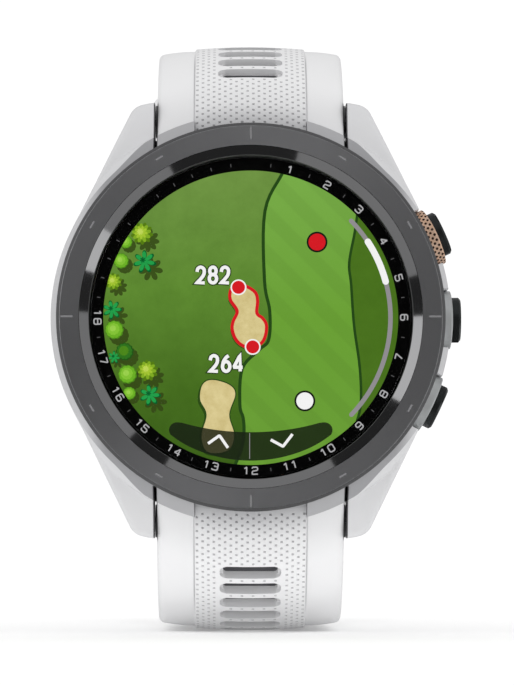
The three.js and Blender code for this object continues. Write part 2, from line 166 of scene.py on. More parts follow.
def build(name, body, materials, sharp=38):
    """A mesh object in the row frame."""
    points, faces, zones = body
    mesh = bpy.data.meshes.new(name)
    mesh.from_pydata(place(points).tolist(), [], faces)
    for material in materials:
        mesh.materials.append(material)
    mesh.polygons.foreach_set("material_index", zones)
    obj = bpy.data.objects.new(name, mesh)
    bpy.context.scene.collection.objects.link(obj)
    smooth(obj, sharp)
    return obj


def smooth(obj, sharp):
    obj.data.shade_smooth()
    obj.data.set_sharp_from_angle(angle=math.radians(sharp))


def boolean(obj, body, operation="DIFFERENCE", sharp=38, material=None):
    """Joins a body to obj, or cuts it out of obj, and settles the result in obj's mesh.
    The new faces take the given material."""
    tool = build("tool", body, [material] if material else [])
    change = obj.modifiers.new("change", "BOOLEAN")
    change.solver = "MANIFOLD"
    if material:
        change.material_mode = "TRANSFER"
    change.operation = operation
    change.object = tool
    graph = bpy.context.evaluated_depsgraph_get()
    mesh = bpy.data.meshes.new_from_object(obj.evaluated_get(graph))
    obj.modifiers.clear()
    old, obj.data = obj.data, mesh
    bpy.data.meshes.remove(old)
    bpy.data.meshes.remove(tool.data)
    smooth(obj, sharp)
    return obj


def rounded(corners, steps=5, loop=True, hold=0.0):
    """A path through corners (a, b, radius), each turned into an arc of that radius.
    hold sets a point that far before and after each arc, which keeps the flats beside it shaded flat."""
    path = []
    count = len(corners)
    for i, (a, b, radius) in enumerate(corners):
        here = np.array([a, b], float)
        if radius == 0 or (not loop and i in (0, count - 1)):
            path.append((a, b))
            continue
        back = np.array(corners[i - 1][:2], float) - here
        ahead = np.array(corners[(i + 1) % count][:2], float) - here
        back /= np.linalg.norm(back)
        ahead /= np.linalg.norm(ahead)
        half = math.acos(max(-1.0, min(1.0, float(back @ ahead)))) / 2
        reach = radius / math.tan(half)
        centre = here + (back + ahead) / np.linalg.norm(back + ahead) * radius / math.sin(half)
        first, last = here + back * reach - centre, here + ahead * reach - centre
        start = math.atan2(first[1], first[0])
        turn = (math.atan2(last[1], last[0]) - start + math.pi) % (2 * math.pi) - math.pi
        if hold:
            path.append(tuple(here + back * (reach + hold)))
        for k in range(steps + 1):
            angle = start + turn * k / steps
            path.append((centre[0] + radius * math.cos(angle), centre[1] + radius * math.sin(angle)))
        if hold:
            path.append(tuple(here + ahead * (reach + hold)))
    return path


def turned(profile, steps=192, zones=None):
    """A body turned about z from (radius, height) points, which close on themselves or run axis to axis."""
    count = len(profile)
    on_axis = [abs(r) < 1e-9 for r, _ in profile]
    points, index = [], {}
    for j, (r, z) in enumerate(profile):
        for i in range(1 if on_axis[j] else steps):
            angle = 2 * math.pi * i / steps
            index[i, j] = len(points)
            points.append((r * math.cos(angle), r * math.sin(angle), z))
    faces, kinds = [], []
    for j in range(count):
        k = (j + 1) % count
        if on_axis[j] and on_axis[k]:
            continue
        for i in range(steps):
            n = (i + 1) % steps
            corners = [index[0 if on_axis[j] else i, j], index[0 if on_axis[j] else n, j],
                       index[0 if on_axis[k] else n, k], index[0 if on_axis[k] else i, k]]
            faces.append(list(dict.fromkeys(corners)))
            kinds.append(zones[j] if zones else 0)
    return closed(points, faces, kinds)


def prism(outline, low, high):
    """A flat outline in x and y, from one height to another."""
    count = len(outline)
    points = [(x, y, low) for x, y in outline] + [(x, y, high) for x, y in outline]
    faces = [list(range(count))[::-1], [count + i for i in range(count)]]
    faces += [[i, (i + 1) % count, count + (i + 1) % count, count + i] for i in range(count)]
    return closed(points, faces)


def transformed(body, matrix):
    points = [tuple(matrix @ Vector(p)) for p in body[0]]
    return closed(points, body[1], body[2])


def ellipse(x, y, half_x, half_y, steps=28):
    return [(x + half_x * math.cos(2 * math.pi * i / steps), y + half_y * math.sin(2 * math.pi * i / steps))
            for i in range(steps)]


def circle(radius, x=0.0, y=0.0, steps=40):
    return ellipse(x, y, radius, radius, steps)


def loft_faces(size, count):
    """The faces of a body lofted through count sections of size points each, closed at both ends."""
    faces = [list(range(size)), [(count - 1) * size + j for j in range(size)][::-1]]
    for i in range(count - 1):
        for j in range(size):
            k = (j + 1) % size
            faces.append([i * size + j, (i + 1) * size + j, (i + 1) * size + k, i * size + k])
    return faces


def rounded_box(half_x, half_y, radius, x=0.0, y=0.0, steps=5):
    corners = [(1, 1), (-1, 1), (-1, -1), (1, -1)]
    return rounded([(x + sx * half_x, y + sy * half_y, radius) for sx, sy in corners], steps)


def rod(radius, start, end, y, z, steps=48, edge=0.0):
    """A rod along x."""
    profile = rounded([(0, start, 0), (radius, start, edge), (radius, end, edge), (0, end, 0)], 3)
    body = turned(profile, steps)
    turn = Matrix.Translation((0, y, z)) @ Matrix.Rotation(math.pi / 2, 4, "Y")
    return transformed(body, turn)


def curve_point(corners, t):
    """A point between the middle two of four corners, on a smooth curve through them."""
    p0, p1, p2, p3 = corners
    return 0.5 * ((2 * p1) + (p2 - p0) * t + (2 * p0 - 5 * p1 + 4 * p2 - p3) * t ** 2
                  + (3 * p1 - p0 - 3 * p2 + p3) * t ** 3)


def curve_through(points, steps=6):
    """A smooth path through given points."""
    points = np.array(points, float)
    ends = [2 * points[0] - points[1], *points, 2 * points[-1] - points[-2]]
    path = [curve_point(ends[i - 1:i + 3], t)
            for i in range(1, len(ends) - 2) for t in np.arange(steps) / steps]
    return [tuple(p) for p in [*path, points[-1]]]


def loop_through(points, steps=6):
    """A smooth closed outline through given points."""
    points = np.array(points, float)
    ring = [points[-1], *points, points[0], points[1]]
    return [tuple(curve_point(ring[i - 1:i + 3], t))
            for i in range(1, len(points) + 1) for t in np.arange(steps) / steps]


def ribbon(path, width, low, high, loop=False):
    """A flat band of even width along a path, from one height to another."""
    points = np.array(path, float)
    if loop:
        ahead, back = np.roll(points, -1, 0), np.roll(points, 1, 0)
    else:
        ahead = np.vstack([points[1:], 2 * points[-1] - points[-2]])
        back = np.vstack([2 * points[0] - points[1], points[:-1]])
    first, last = points - back, ahead - points
    first /= np.linalg.norm(first, axis=1)[:, None]
    last /= np.linalg.norm(last, axis=1)[:, None]
    along = first + last
    along /= np.linalg.norm(along, axis=1)[:, None]
    side = np.stack([-along[:, 1], along[:, 0]], 1)
    reach = width / 2 / np.maximum(0.5, np.abs((along * last).sum(1)))
    left, right = points + side * reach[:, None], points - side * reach[:, None]
    count = len(points)
    corners = [(*p, z) for edge, z in ((left, low), (right, low), (right, high), (left, high)) for p in edge]
    faces = []
    for i in range(count if loop else count - 1):
        n = (i + 1) % count
        for j in range(4):
            k = (j + 1) % 4
            faces.append([j * count + i, j * count + n, k * count + n, k * count + i])
    if not loop:
        faces.append([j * count for j in range(4)])
        faces.append([j * count + count - 1 for j in range(4)][::-1])
    return closed(corners, faces)


# ---- Bodies from distance fields ----
def both(a, b, radius=0.0):
    """Where two fields are both inside, with the edge between them rounded."""
    if radius == 0:
        return np.maximum(a, b)
    outside = np.hypot(np.maximum(a + radius, 0), np.maximum(b + radius, 0))
    return np.minimum(-radius, np.maximum(a, b)) + outside


def either(a, b, radius=0.0):
    return -both(-a, -b, radius)


def without(a, b, radius=0.0):
    return both(a, -b, radius)


def box_field(x, y, z, centre, half, radius):
    q = [np.abs(v - c) - (h - radius) for v, c, h in zip((x, y, z), centre, half)]
    outside = np.sqrt(sum(np.maximum(v, 0) ** 2 for v in q))
    return outside + np.minimum(np.maximum(np.maximum(q[0], q[1]), q[2]), 0) - radius


def surface(field, low, high, step):
    """The field's zero surface as a closed body of quads, with each vertex moved on to the surface."""
    low = np.asarray(low, float) - 2 * step
    axes = [np.arange(low[i], high[i] + 2.5 * step, step) for i in range(3)]
    inside = field(*np.meshgrid(*axes, indexing="ij")) < 0
    ends = (slice(None, -1), slice(1, None))
    corners = sum(inside[a, b, c].astype(np.int8) for a in ends for b in ends for c in ends)
    mixed = (corners > 0) & (corners < 8)
    index = np.full(mixed.shape, -1)
    index[mixed] = np.arange(mixed.sum())
    start = low + (np.argwhere(mixed) + 0.5) * step
    points = start.copy()
    reach = step * 0.05
    for _ in range(4):
        value = field(*points.T)
        slope = np.stack([(field(*(points + d).T) - field(*(points - d).T)) / (2 * reach)
                          for d in np.eye(3) * reach], 1)
        move = -value[:, None] * slope / np.maximum((slope ** 2).sum(1), 0.2)[:, None]
        points = np.clip(points + move, start - 0.62 * step, start + 0.62 * step)
    faces = []
    for axis in range(3):
        a, b = (axis + 1) % 3, (axis + 2) % 3
        first = np.take(inside, range(inside.shape[axis] - 1), axis)
        second = np.take(inside, range(1, inside.shape[axis]), axis)
        where = np.argwhere(first != second)
        quads = []
        for da, db in ((-1, -1), (0, -1), (0, 0), (-1, 0)):
            cell = where.copy()
            cell[:, a] += da
            cell[:, b] += db
            quads.append(index[tuple(cell.T)])
        quads = np.stack(quads, 1)
        outward = first[tuple(where.T)]
        quads[~outward] = quads[~outward][:, ::-1]
        faces += quads.tolist()
    return [tuple(p) for p in points], faces, [0] * len(faces)


# ---- Materials ----
class Graph:
    """The shader nodes of a material or a world. An input is a number, a colour or a node's output."""

    def __init__(self, owner):
        owner.use_nodes = True
        self.nodes, self.links = owner.node_tree.nodes, owner.node_tree.links
        self.shader = self.nodes.get("Principled BSDF")

    def feed(self, node, key, value):
        if isinstance(value, bpy.types.NodeSocket):
            self.links.new(value, node.inputs[key])
        else:
            node.inputs[key].default_value = value

    def add(self, kind, inputs=None, output=0, **settings):
        """Makes a node, sets its inputs, and gives back one of its outputs."""
        node = self.nodes.new("ShaderNode" + kind)
        for key, value in settings.items():
            setattr(node, key, value)
        for key, value in (inputs or {}).items():
            self.feed(node, key, value)
        return node.outputs[output]

    def dress(self, looks):
        for key, value in looks.items():
            self.feed(self.shader, key, value)

    def source(self, key):
        """The output that feeds one of the shader's inputs."""
        return self.shader.inputs[key].links[0].from_socket

    def position(self):
        return self.add("TexCoord", output="Object")

    def axis(self, name):
        return self.add("SeparateXYZ", {"Vector": self.position()}, name)

    def radius(self):
        """How far a point lies from the dial's axis."""
        flat = self.add("VectorMath", {0: self.position(), 1: (1, 0, 1)}, operation="MULTIPLY")
        return self.add("VectorMath", {0: flat}, "Value", operation="LENGTH")

    def math(self, operation, *values):
        return self.add("Math", dict(enumerate(values)), operation=operation)

    def span(self, value, low, high, start, end, kind="LINEAR"):
        """A value's change from low to high, turned into a change from start to end."""
        inputs = {"Value": value, "From Min": low, "From Max": high, "To Min": start, "To Max": end}
        return self.add("MapRange", inputs, interpolation_type=kind)

    def step(self, value, low, high, start, end):
        """A smooth change between two distances in millimetres."""
        return self.span(value, low * MM, high * MM, start, end, "SMOOTHSTEP")

    def noise(self, scale, detail=2, roughness=0.5):
        inputs = {"Vector": self.position(), "Scale": scale, "Detail": detail, "Roughness": roughness}
        return self.add("TexNoise", inputs, "Fac")

    def mix(self, share, first, second, blend="MIX"):
        return self.add("Mix", {0: share, 6: first, 7: second}, 2, data_type="RGBA", blend_type=blend)

    def ramp(self, value, stops, kind="LINEAR"):
        """A colour ramp through stops, given in order as (position, colour)."""
        node = self.nodes.new("ShaderNodeValToRGB")
        node.color_ramp.interpolation = kind
        elements = node.color_ramp.elements
        elements.remove(elements[1])
        elements[0].position, elements[0].color = stops[0]
        for position, color in stops[1:]:
            elements.new(position).color = color
        self.feed(node, "Fac", value)
        return node.outputs["Color"]

    def see_through(self, share):
        """Mixes the shader with plain clearness; share is how much of the shader there is."""
        clear, shaded = self.add("BsdfTransparent"), self.shader.outputs["BSDF"]
        mixed = self.add("MixShader", {0: share, 1: clear, 2: shaded})
        self.feed(self.nodes["Material Output"], "Surface", mixed)


def finish_of(name, color, roughness, metallic=0.0, tint=None, tint_scale=300.0, grain=0.0,
              grain_scale=4000.0, wear=0.06, **inputs):
    """A material whose colour drifts towards tint, with a fine grain in its surface and its roughness."""
    material = bpy.data.materials.new(name)
    graph = Graph(material)
    fine = graph.noise(grain_scale, 3)
    tint = tint or tuple(0.88 * c for c in color[:3]) + (1,)
    looks = {"Base Color": graph.mix(graph.noise(tint_scale, 4), color, tint), "Metallic": metallic,
             "Roughness": graph.span(fine, 0, 1, max(0.0, roughness - wear), roughness + wear)}
    if grain:
        looks["Normal"] = graph.add("Bump", {"Strength": grain, "Distance": 0.00004, "Height": fine})
    graph.dress(looks)
    graph.dress({key.replace("_", " "): value for key, value in inputs.items()})
    return material


def shaded_round_bezel(material, ridge=True):
    """Painted shade round the bezel: light grey on the cone that rings it, where the bezel's shadow falls, and
    on the strap's ridge, darker where it dives under the bezel.
    The two walls of the narrow gap between strap and lug are painted dark, as shade."""
    graph = Graph(material)
    step, radius = graph.step, graph.radius()
    beside, behind = graph.math("ABSOLUTE", graph.axis("X")), graph.axis("Y")

    def product(first, *others):
        for other in others:
            first = graph.math("MULTIPLY", first, other)
        return first

    # the band on the cone round the bezel, narrower over the lugs and weaker towards 3 and 9 o'clock: painted
    # shade
    reach = graph.math("ADD", radius, step(beside, 10.5, 14.5, 0, 0.75 * MM))
    near = step(reach, BAND_RADIUS + 0.01, BAND_RADIUS + 0.05, 1, 0)
    raised = step(behind, -BAND_FOOT - 0.02, -BAND_FOOT + 0.02, 1, 0)
    shaded = product(near, raised, step(beside, 15, 18, 1, 0.3))
    in_front = step(behind, 0, 5, 1, 0)
    if ridge:
        # the strap a little darker near the bezel, the ridge darker still, and a dark line at the ridge's foot:
        # painted shade
        on_ridge = step(beside, RIDGE_HALF - 0.02, RIDGE_HALF + 0.02, 1, 0)
        foot = product(step(beside, RIDGE_HALF - 0.01, RIDGE_HALF + 0.02, 0, 0.75),
                       step(beside, RIDGE_HALF + 0.1, RIDGE_HALF + 0.2, 1, 0))
        ridge_shade = graph.math("MAXIMUM", step(radius, 21.5, 27, 0.3, 0), foot)
        ridge_shade = graph.math("MAXIMUM", product(step(radius, 19.5, 25, 1, 0), on_ridge), ridge_shade)
        shaded = graph.math("MAXIMUM", product(ridge_shade, in_front), shaded)
    # both walls of the gap between strap and lug: painted shade
    gap = product(step(beside, 9.85, 9.91, 0, 1), step(beside, 10.3, 10.36, 1, 0),
                  step(radius, 20.4, 20.6, 0, 1), step(radius, 25.2, 25.6, 1, 0), in_front)
    color = graph.mix(shaded, graph.source("Base Color"), BAND_SHADE, "MULTIPLY")
    graph.dress({"Base Color": graph.mix(gap, color, GAP_SHADE, "MULTIPLY")})


def brushed_metal():
    """Dark ceramic-coated metal brushed round the dial: the scratches are rings about the dial's axis."""
    material = finish_of("bezel_brushed", BEZEL_COLOR, 0.46, 1.0, tint_scale=60, wear=0.0)
    graph = Graph(material)
    angle = graph.math("ARCTAN2", graph.axis("X"), graph.axis("Z"))
    across, along = graph.math("MULTIPLY", graph.radius(), 22000), graph.math("MULTIPLY", angle, 6)
    scratch = graph.add("CombineXYZ", {"X": across, "Y": along})
    lines = graph.add("TexNoise", {"Vector": scratch, "Scale": 1, "Detail": 2}, "Fac")
    graph.dress({"Normal": graph.add("Bump", {"Strength": 0.12, "Distance": 0.00002, "Height": lines}),
                 "Tangent": graph.add("Tangent", direction_type="RADIAL", axis="Y"), "Anisotropic": 0.6})
    return material


def cover_glass_look():
    """Clear glass: what is below shows straight through, and the surface mirrors by the angle it is seen at.
    Only its outer faces mirror, or a slanting look in would see nothing."""
    material = bpy.data.materials.new("lens_glass")
    graph = Graph(material)
    graph.dress({"Base Color": (1, 1, 1, 1), "Metallic": 1,
                 "Roughness": graph.span(graph.noise(120), 0, 1, 0.0, 0.04)})
    outside = graph.math("SUBTRACT", 1, graph.add("NewGeometry", output="Backfacing"))
    graph.see_through(graph.math("MULTIPLY", graph.add("Fresnel", {"IOR": 1.45}), outside))
    return material


def lit(name, color, other=None, scale=900.0, glow=1.0, clear=0.0):
    """A glowing part: a lit part of the display, or print on the hour ring made to glow as painted light. Its
    colour drifts between two greens or greys.
    """
    material = finish_of(name, (0, 0, 0, 1), 0.5, tint=(0.001, 0.001, 0.001, 1))
    graph = Graph(material)
    other = other or tuple(0.93 * c for c in color[:3]) + (1,)
    graph.dress({"Specular IOR Level": 0, "Emission Strength": glow,
                 "Emission Color": graph.mix(graph.noise(scale, 5, 0.65), color, other)})
    if clear:
        graph.see_through(1 - clear)
    return material


def graded(material, stops):
    """Multiplies a lit material's colour by shades that change from the bottom of the dial to the top."""
    graph = Graph(material)
    shade = graph.ramp(graph.span(graph.axis("Z"), -RING_INNER * MM, RING_INNER * MM, 0, 1), stops)
    graph.dress({"Emission Color": graph.mix(1, shade, graph.source("Emission Color"), "MULTIPLY")})
    return material


def striped(material, width, strength):
    """Mowing stripes across a lit material, on a slant."""
    graph = Graph(material)
    slant = graph.add("Mapping", {"Vector": graph.position(), "Rotation": (0, math.radians(STRIPE_ANGLE), 0)})
    wave = graph.add("TexWave", {"Vector": slant, "Scale": math.pi / (10 * 2 * width * MM)}, "Fac",
                     wave_profile="SIN", bands_direction="X")
    light = graph.span(wave, 0.35, 0.65, 1 - strength, 1, "SMOOTHSTEP")
    color = graph.add("VectorMath", {0: graph.source("Emission Color"), "Scale": light}, operation="SCALE")
    graph.dress({"Emission Color": color})
    return material


CHAMFER_SHINE = 0.52
BEZEL_COLOR = (0.74, 0.74, 0.75, 1)
# painted shade: the grey of the band round the bezel and the dark of the gap between strap and lug
BAND_SHADE = (0.48, 0.48, 0.49, 1)
GAP_SHADE = (0.12, 0.12, 0.125, 1)
STRIPE_ANGLE = 45

white_polymer = finish_of("white_polymer", (0.72, 0.72, 0.73, 1), 0.42, grain=0.15, grain_scale=6000,
                          tint=(0.695, 0.695, 0.71, 1), tint_scale=90)
# the case takes the painted shade round the bezel and in the gap beside the strap
shaded_round_bezel(white_polymer, ridge=False)
bezel_brushed = brushed_metal()
bezel_polished = finish_of("bezel_polished", (CHAMFER_SHINE, CHAMFER_SHINE, CHAMFER_SHINE, 1), 0.06, 1.0,
                           tint_scale=80, wear=0.02)
bezel_edge = finish_of("bezel_edge", (0.10, 0.10, 0.103, 1), 0.5, 0.2, tint_scale=200, wear=0.04)
mark_paint = finish_of("mark_paint", srgb(128, 128, 130), 0.5, grain=0.1, grain_scale=9000)
lens_glass = cover_glass_look()
black_print = finish_of("black_print", (0.0012, 0.0012, 0.0013, 1), 0.5, grain=0.05,
                        tint=(0.0006, 0.0006, 0.0006, 1), Specular_IOR_Level=0.1)
strap_silicone = finish_of("strap_silicone", (0.88, 0.88, 0.885, 1), 0.55, grain=0.25, grain_scale=7000,
                           tint=(0.85, 0.85, 0.86, 1), tint_scale=120, wear=0.08)
# the strap takes the painted shade round the bezel, along its ridge and in the gap beside the lugs
shaded_round_bezel(strap_silicone)
# the faces round each dimple: a darker grey, painted shade in the pits
pit_shade_silicone = finish_of("strap_pit_painted_shade", (0.66, 0.66, 0.67, 1), 0.6, tint=(0.56, 0.56, 0.57, 1), tint_scale=900)
shaded_round_bezel(pit_shade_silicone)
# the faces cut by the slots: grey walls, a near-black foot and a grey recess, painted shade in the slots
painted_slot_shade = finish_of("strap_slot_wall_painted_shade", (0.70, 0.70, 0.71, 1), 0.6, grain=0.2, grain_scale=7000)
slot_shadow_foot = finish_of("strap_slot_foot_painted_shadow", (0.14, 0.14, 0.15, 1), 0.6, grain=0.2, grain_scale=7000)
recess_shade_wall = finish_of("strap_recess_painted_shade", (0.78, 0.78, 0.79, 1), 0.6, grain=0.2, grain_scale=7000)
button_black = finish_of("button_black", (0.06, 0.066, 0.066, 1), 0.24, 0.8, tint_scale=900, wear=0.05)
guard_bronze = finish_of("guard_bronze", (0.9, 0.5, 0.27, 1), 0.36, 0.55, grain=0.2, tint_scale=1500,
                         tint=(0.95, 0.76, 0.64, 1))
# near black in the guard's knurl pits: painted shade
bronze_pit_shade = finish_of("bronze_pit_shade", (0.09, 0.045, 0.025, 1), 0.5, 0.3, tint_scale=1500)
guard_silver = finish_of("guard_silver", (0.74, 0.76, 0.76, 1), 0.42, 0.6, grain=0.15, tint_scale=1200)
steel = finish_of("steel", (0.56, 0.57, 0.58, 1), 0.28, 1.0, grain=0.15, grain_scale=5000)
seal_rubber = finish_of("seal_rubber", (0.012, 0.012, 0.012, 1), 0.8, grain=0.4)
dark_polymer = finish_of("dark_polymer", (0.022, 0.023, 0.025, 1), 0.5, grain=0.5, grain_scale=5000)
back_glass = finish_of("back_glass", (0.004, 0.004, 0.005, 1), 0.05, tint_scale=200, wear=0.02)
circuit_board = finish_of("circuit_board", (0.01, 0.075, 0.035, 1), 0.45, grain=0.3)
shield_tin = finish_of("shield_tin", (0.6, 0.61, 0.62, 1), 0.33, 1.0, grain=0.3)
battery_foil = finish_of("battery_foil", (0.28, 0.29, 0.31, 1), 0.4, 0.8, grain=0.4)
amber_film = finish_of("amber_film", (0.42, 0.15, 0.025, 1), 0.4, grain=0.2)
gold_contact = finish_of("gold_contact", (0.75, 0.5, 0.17, 1), 0.25, 1.0, grain=0.1)

# Every CAD node that still shows gets the material of the slot that the record gives it.
SLOT_LOOKS = {
    "white_polymer": white_polymer, "bezel_ceramic": bezel_brushed, "lens_glass": back_glass,
    "black_print": black_print, "strap_silicone": strap_silicone, "button_black": button_black,
    "guard_bronze": guard_bronze, "guard_silver": guard_silver, "steel": steel,
    "seal_rubber": seal_rubber, "dark_polymer": dark_polymer, "circuit_board": circuit_board,
    "shield_tin": shield_tin, "battery_foil": battery_foil, "amber_film": amber_film,
    "gold_contact": gold_contact, "display": black_print,
}


def dress_nodes():
    for part in frame["record"]["subparts"]:
        mesh = frame["nodes"][part["node"]].data
        mesh.materials.clear()
        mesh.materials.append(SLOT_LOOKS[part["material_slot"]])


dress_nodes()


# ---- Case ----
def case_field(x, y, z):
    """The round case with its four lugs, less the bore for the works and the room for the strap's ends."""
    r = np.hypot(x, y)
    ax, ay = np.abs(x), np.abs(y)
    cone = 0.7918 * r + 0.6108 * z - 22.798
    rim = both(both(r - CASE_RADIUS, CASE_FLOOR - z, 0.7), both(cone, z - CASE_TOP, 0.12), 0.15)
    band = both(both(r - BAND_RADIUS, 6.0 - z), both(cone, z - CASE_TOP, 0.12))
    arch = np.hypot(np.maximum(ay - 8, 0), z + 30.2) - 40
    along = 0.8957 * ay - 0.4444 * ax
    flank = np.where(along < 0, r, 0.8957 * ax + 0.4444 * ay - 0.012 * along) - CASE_RADIUS
    tip = 0.2614 * ax + 0.9652 * ay - 25.25
    plan = both(flank, both(tip, ay - LUG_TIP, 0.4), 0.6)
    arm = both(both(plan, arch, 0.45), CASE_FLOOR - z, 1.1)
    shoulder = both(both(band, plan), CASE_FLOOR - z)
    body = either(either(rim, arm, 0.3), shoulder)
    low_notch = both(both(ax - LUG_GAP, LUG_WALL - ay), z - LUG_SHELF - 0.1)
    high_notch = both(both(ax - LUG_GAP, LUG_WALL - r), both(LUG_SHELF - z, 10 - ay))
    body = without(body, np.minimum(low_notch, high_notch), 0.12)
    bore = both(r - CASE_BORE, z - CASE_SEAT_Z - 0.1)
    seat = both(r - CASE_SEAT, CASE_SEAT_Z - z)
    back = both(r - 18.55, z - 2.3)
    return without(body, np.minimum(np.minimum(bore, seat), back), 0.08)


def disc(radius, low, high, x=0.0, y=0.0, steps=64):
    return prism(circle(radius, x, y, steps), low, high)


SCREWS = [(sx * SCREW_AT, sy * SCREW_AT) for sx, sy in ((1, 1), (-1, 1), (-1, -1), (1, -1))]
BUTTONS = {"upper": (24.6, 22.7, 21.75), "middle": (0.0, 22.45, 21.45), "lower": (-25.2, 22.35, 21.4)}


def button_frame(angle):
    """z runs out along the button's own axis."""
    return (Matrix.Translation((0, 0, BUTTON_Z)) @ Matrix.Rotation(math.radians(angle), 4, "Z")
            @ Matrix.Rotation(math.pi / 2, 4, "Y"))


def make_case():
    body = surface(case_field, (-BAND_RADIUS, -LUG_TIP, CASE_FLOOR), (BAND_RADIUS, LUG_TIP, CASE_TOP), 0.21)
    case = build("case_shell", body, [white_polymer], 60)
    holes = [disc(0.75, 1.0, 5.3, x, y, 32) for x, y in SCREWS]
    holes += [rod(0.5, -11.5, 11.5, side * BAR_Y, BAR_Z, 32) for side in (1, -1)]
    profile = [(0, 17), (0.85, 17), (0.85, 18.1), (1.35, 18.1), (1.35, 19.2), (3.15, 19.2), (3.15, 24),
               (0, 24)]
    holes += [transformed(turned(profile, 64), button_frame(angle)) for angle, _, _ in BUTTONS.values()]
    window = rounded_box(3.6, 3.12, 0.5)  # each guard shows through a window in the rim, beside the bezel
    notches = [transformed(prism([(x - 3.6, y) for x, y in window], 20.3, 24), button_frame(angle))
               for angle, _, _ in BUTTONS.values()]
    boolean(case, together(holes), sharp=60)
    boolean(case, together(notches), sharp=60)
    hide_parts("middle_case")
    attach(case, "head")


make_case()


# ---- Bezel ----
def make_bezel():
    corners = [
        (BEZEL_INNER, 9.4, 0.1, 2), (18.4, 9.4, 0.1, 2), (18.4, 11.35, 0.1, 2), (20.2, 11.35, 0.1, 2),
        (BEZEL_OUTER, 11.63, 0.1, 2), (BEZEL_OUTER, 12.5, 0.08, 2), (20.1, BEZEL_TOP, 0.06, 0),
        (CHAMFER_OUTER, BEZEL_TOP, 0.05, 1), (BEZEL_INNER, 12.4, 0.04, 2),
    ]
    steps = 4
    profile = rounded([c[:3] for c in corners], steps, hold=0.03)
    zones = [c[3] for c in corners for _ in range(steps + 3)]
    bezel = build("bezel_ring", turned(profile, 360, zones), [bezel_brushed, bezel_polished, bezel_edge], 50)
    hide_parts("bezel")
    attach(bezel, "head")


def at_clock(radius, clock):
    """A point of the dial at a clock angle in degrees."""
    return radius * math.sin(math.radians(clock)), radius * math.cos(math.radians(clock))


def make_bezel_marks():
    low, high = BEZEL_TOP - 0.03, BEZEL_TOP + 0.012
    marks = []
    for clock in range(0, 360, 30):
        if clock % 90 == 0:
            path = [at_clock(18.72, clock), at_clock(20.0, clock)]
        else:
            path = [at_clock(19.28, clock + turn) for turn in (-1.26, 0, 1.26)]
        marks.append(ribbon(path, 0.2, low, high))
    piece = build("bezel_marks", together(marks), [mark_paint])
    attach(piece, "head")


make_bezel()
make_bezel_marks()


# ---- Glass, dial ring and its numbers ----
GLYPHS = {
    "0": [[(0, 0, .3), (0, 1, .3), (1, 1, .3), (1, 0, .3)]],
    "1": [[(.1, .78, 0), (.5, 1, .05), (.5, 0, 0)]],
    "2": [[(0, .8, 0), (0, 1, .25), (1, 1, .3), (1, .55, .25), (0, .42, .25), (0, 0, .06), (1, 0, 0)]],
    "3": [[(0, .84, 0), (0, 1, .2), (1, 1, .28), (1, 0, .28), (0, 0, .2), (0, .16, 0)],
          [(.3, .53, 0), (1, .53, 0)]],
    "4": [[(.76, 0, 0), (.76, 1, .04), (0, .3, .06), (1, .3, 0)]],
    "5": [[(.95, 1, 0), (0, 1, .08), (0, .56, .08), (1, .56, .28), (1, 0, .28), (0, 0, .2), (0, .14, 0)]],
    "6": [[(.92, .9, 0), (.85, 1, .1), (0, 1, .3), (0, 0, .3), (1, 0, .28), (1, .56, .28), (.02, .56, 0)]],
    "7": [[(0, 1, 0), (1, 1, .08), (.36, 0, 0)]],
    "8": [[(0, 0, .28), (0, 1, .28), (1, 1, .28), (1, 0, .28)], [(.06, .53, 0), (.94, .53, 0)]],
    "9": [[(.08, .1, 0), (.15, 0, .1), (1, 0, .3), (1, 1, .3), (0, 1, .28), (0, .44, .28), (.98, .44, 0)]],
}
CLOSED_GLYPHS = ("0", "8")


def number(text, width, height, gap, stroke, low, high, to_dial):
    """The strokes of a number, each a flat ribbon. to_dial turns its own plan into the dial's."""
    full = len(text) * width + (len(text) - 1) * gap
    bodies = []
    for i, letter in enumerate(text):
        for k, corners in enumerate(GLYPHS[letter]):
            ring = letter in CLOSED_GLYPHS and k == 0
            left = i * (width + gap) - full / 2
            sized = [(left + a * width, (b - 0.5) * height, r * min(width, height * 0.8))
                     for a, b, r in corners]
            path = [to_dial(a, b) for a, b in rounded(sized, 4, ring)]
            raise_by = 0.004 * (k + 2 * (i % 2))
            bodies.append(ribbon(path, stroke, low, high + raise_by, ring))
    return bodies


MAP_GLYPHS = {  # rounder figures, as (path, whether it closes)
    "2": [(curve_through([(.02, .70), (.12, .9), (.48, 1.0), (.86, .9), (.95, .70), (.82, .47), (.4, .2),
                          (.02, .01)]) + [(1.0, 0.0)], False)],
    "8": [(ellipse(.5, .76, .41, .24), True), (ellipse(.5, .27, .47, .27), True)],
    "6": [(ellipse(.5, .31, .47, .31), True),
          (curve_through([(.82, .99), (.5, .88), (.16, .62), (.03, .31)]), False)],
    "4": [([(.74, 0), (.74, 1.0), (.64, .93), (0.0, .33), (0.04, .26), (1.06, .26)], False)],
}


def map_number(text, x, y, width, height, gap, stroke):
    bodies = []
    full = len(text) * width + (len(text) - 1) * gap
    for i, letter in enumerate(text):
        left = x - full / 2 + i * (width + gap)
        for k, (path, loop) in enumerate(MAP_GLYPHS[letter]):
            placed = [(left + a * width, y + (b - 0.5) * height) for a, b in path]
            bodies.append(ribbon(placed, stroke, 0, LAYER * (0.8 + 0.25 * k), loop))
    return bodies


def on_ring(clock, outward):
    """A plan on the ring at a clock angle, with the tops of its letters outward or towards the centre."""
    def to_dial(a, b):
        if not outward:
            a, b = -a, -b
        turn = math.degrees(a / NUMBER_RADIUS)
        return at_clock(NUMBER_RADIUS + b, clock + turn)
    return to_dial


NUMBER_RADIUS = 16.17
NUMBER_TINT = srgb(196, 196, 198)


def make_glass():
    profile = rounded([(0, LENS_LOW, 0), (LENS_RADIUS, LENS_LOW, 0.15), (LENS_RADIUS, LENS_TOP, 0.16),
                       (0, LENS_TOP, 0)], 5, hold=0.02)
    glass = build("cover_glass", turned(profile, 256), [lens_glass], 50)
    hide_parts("cover_lens")
    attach(glass, "head")


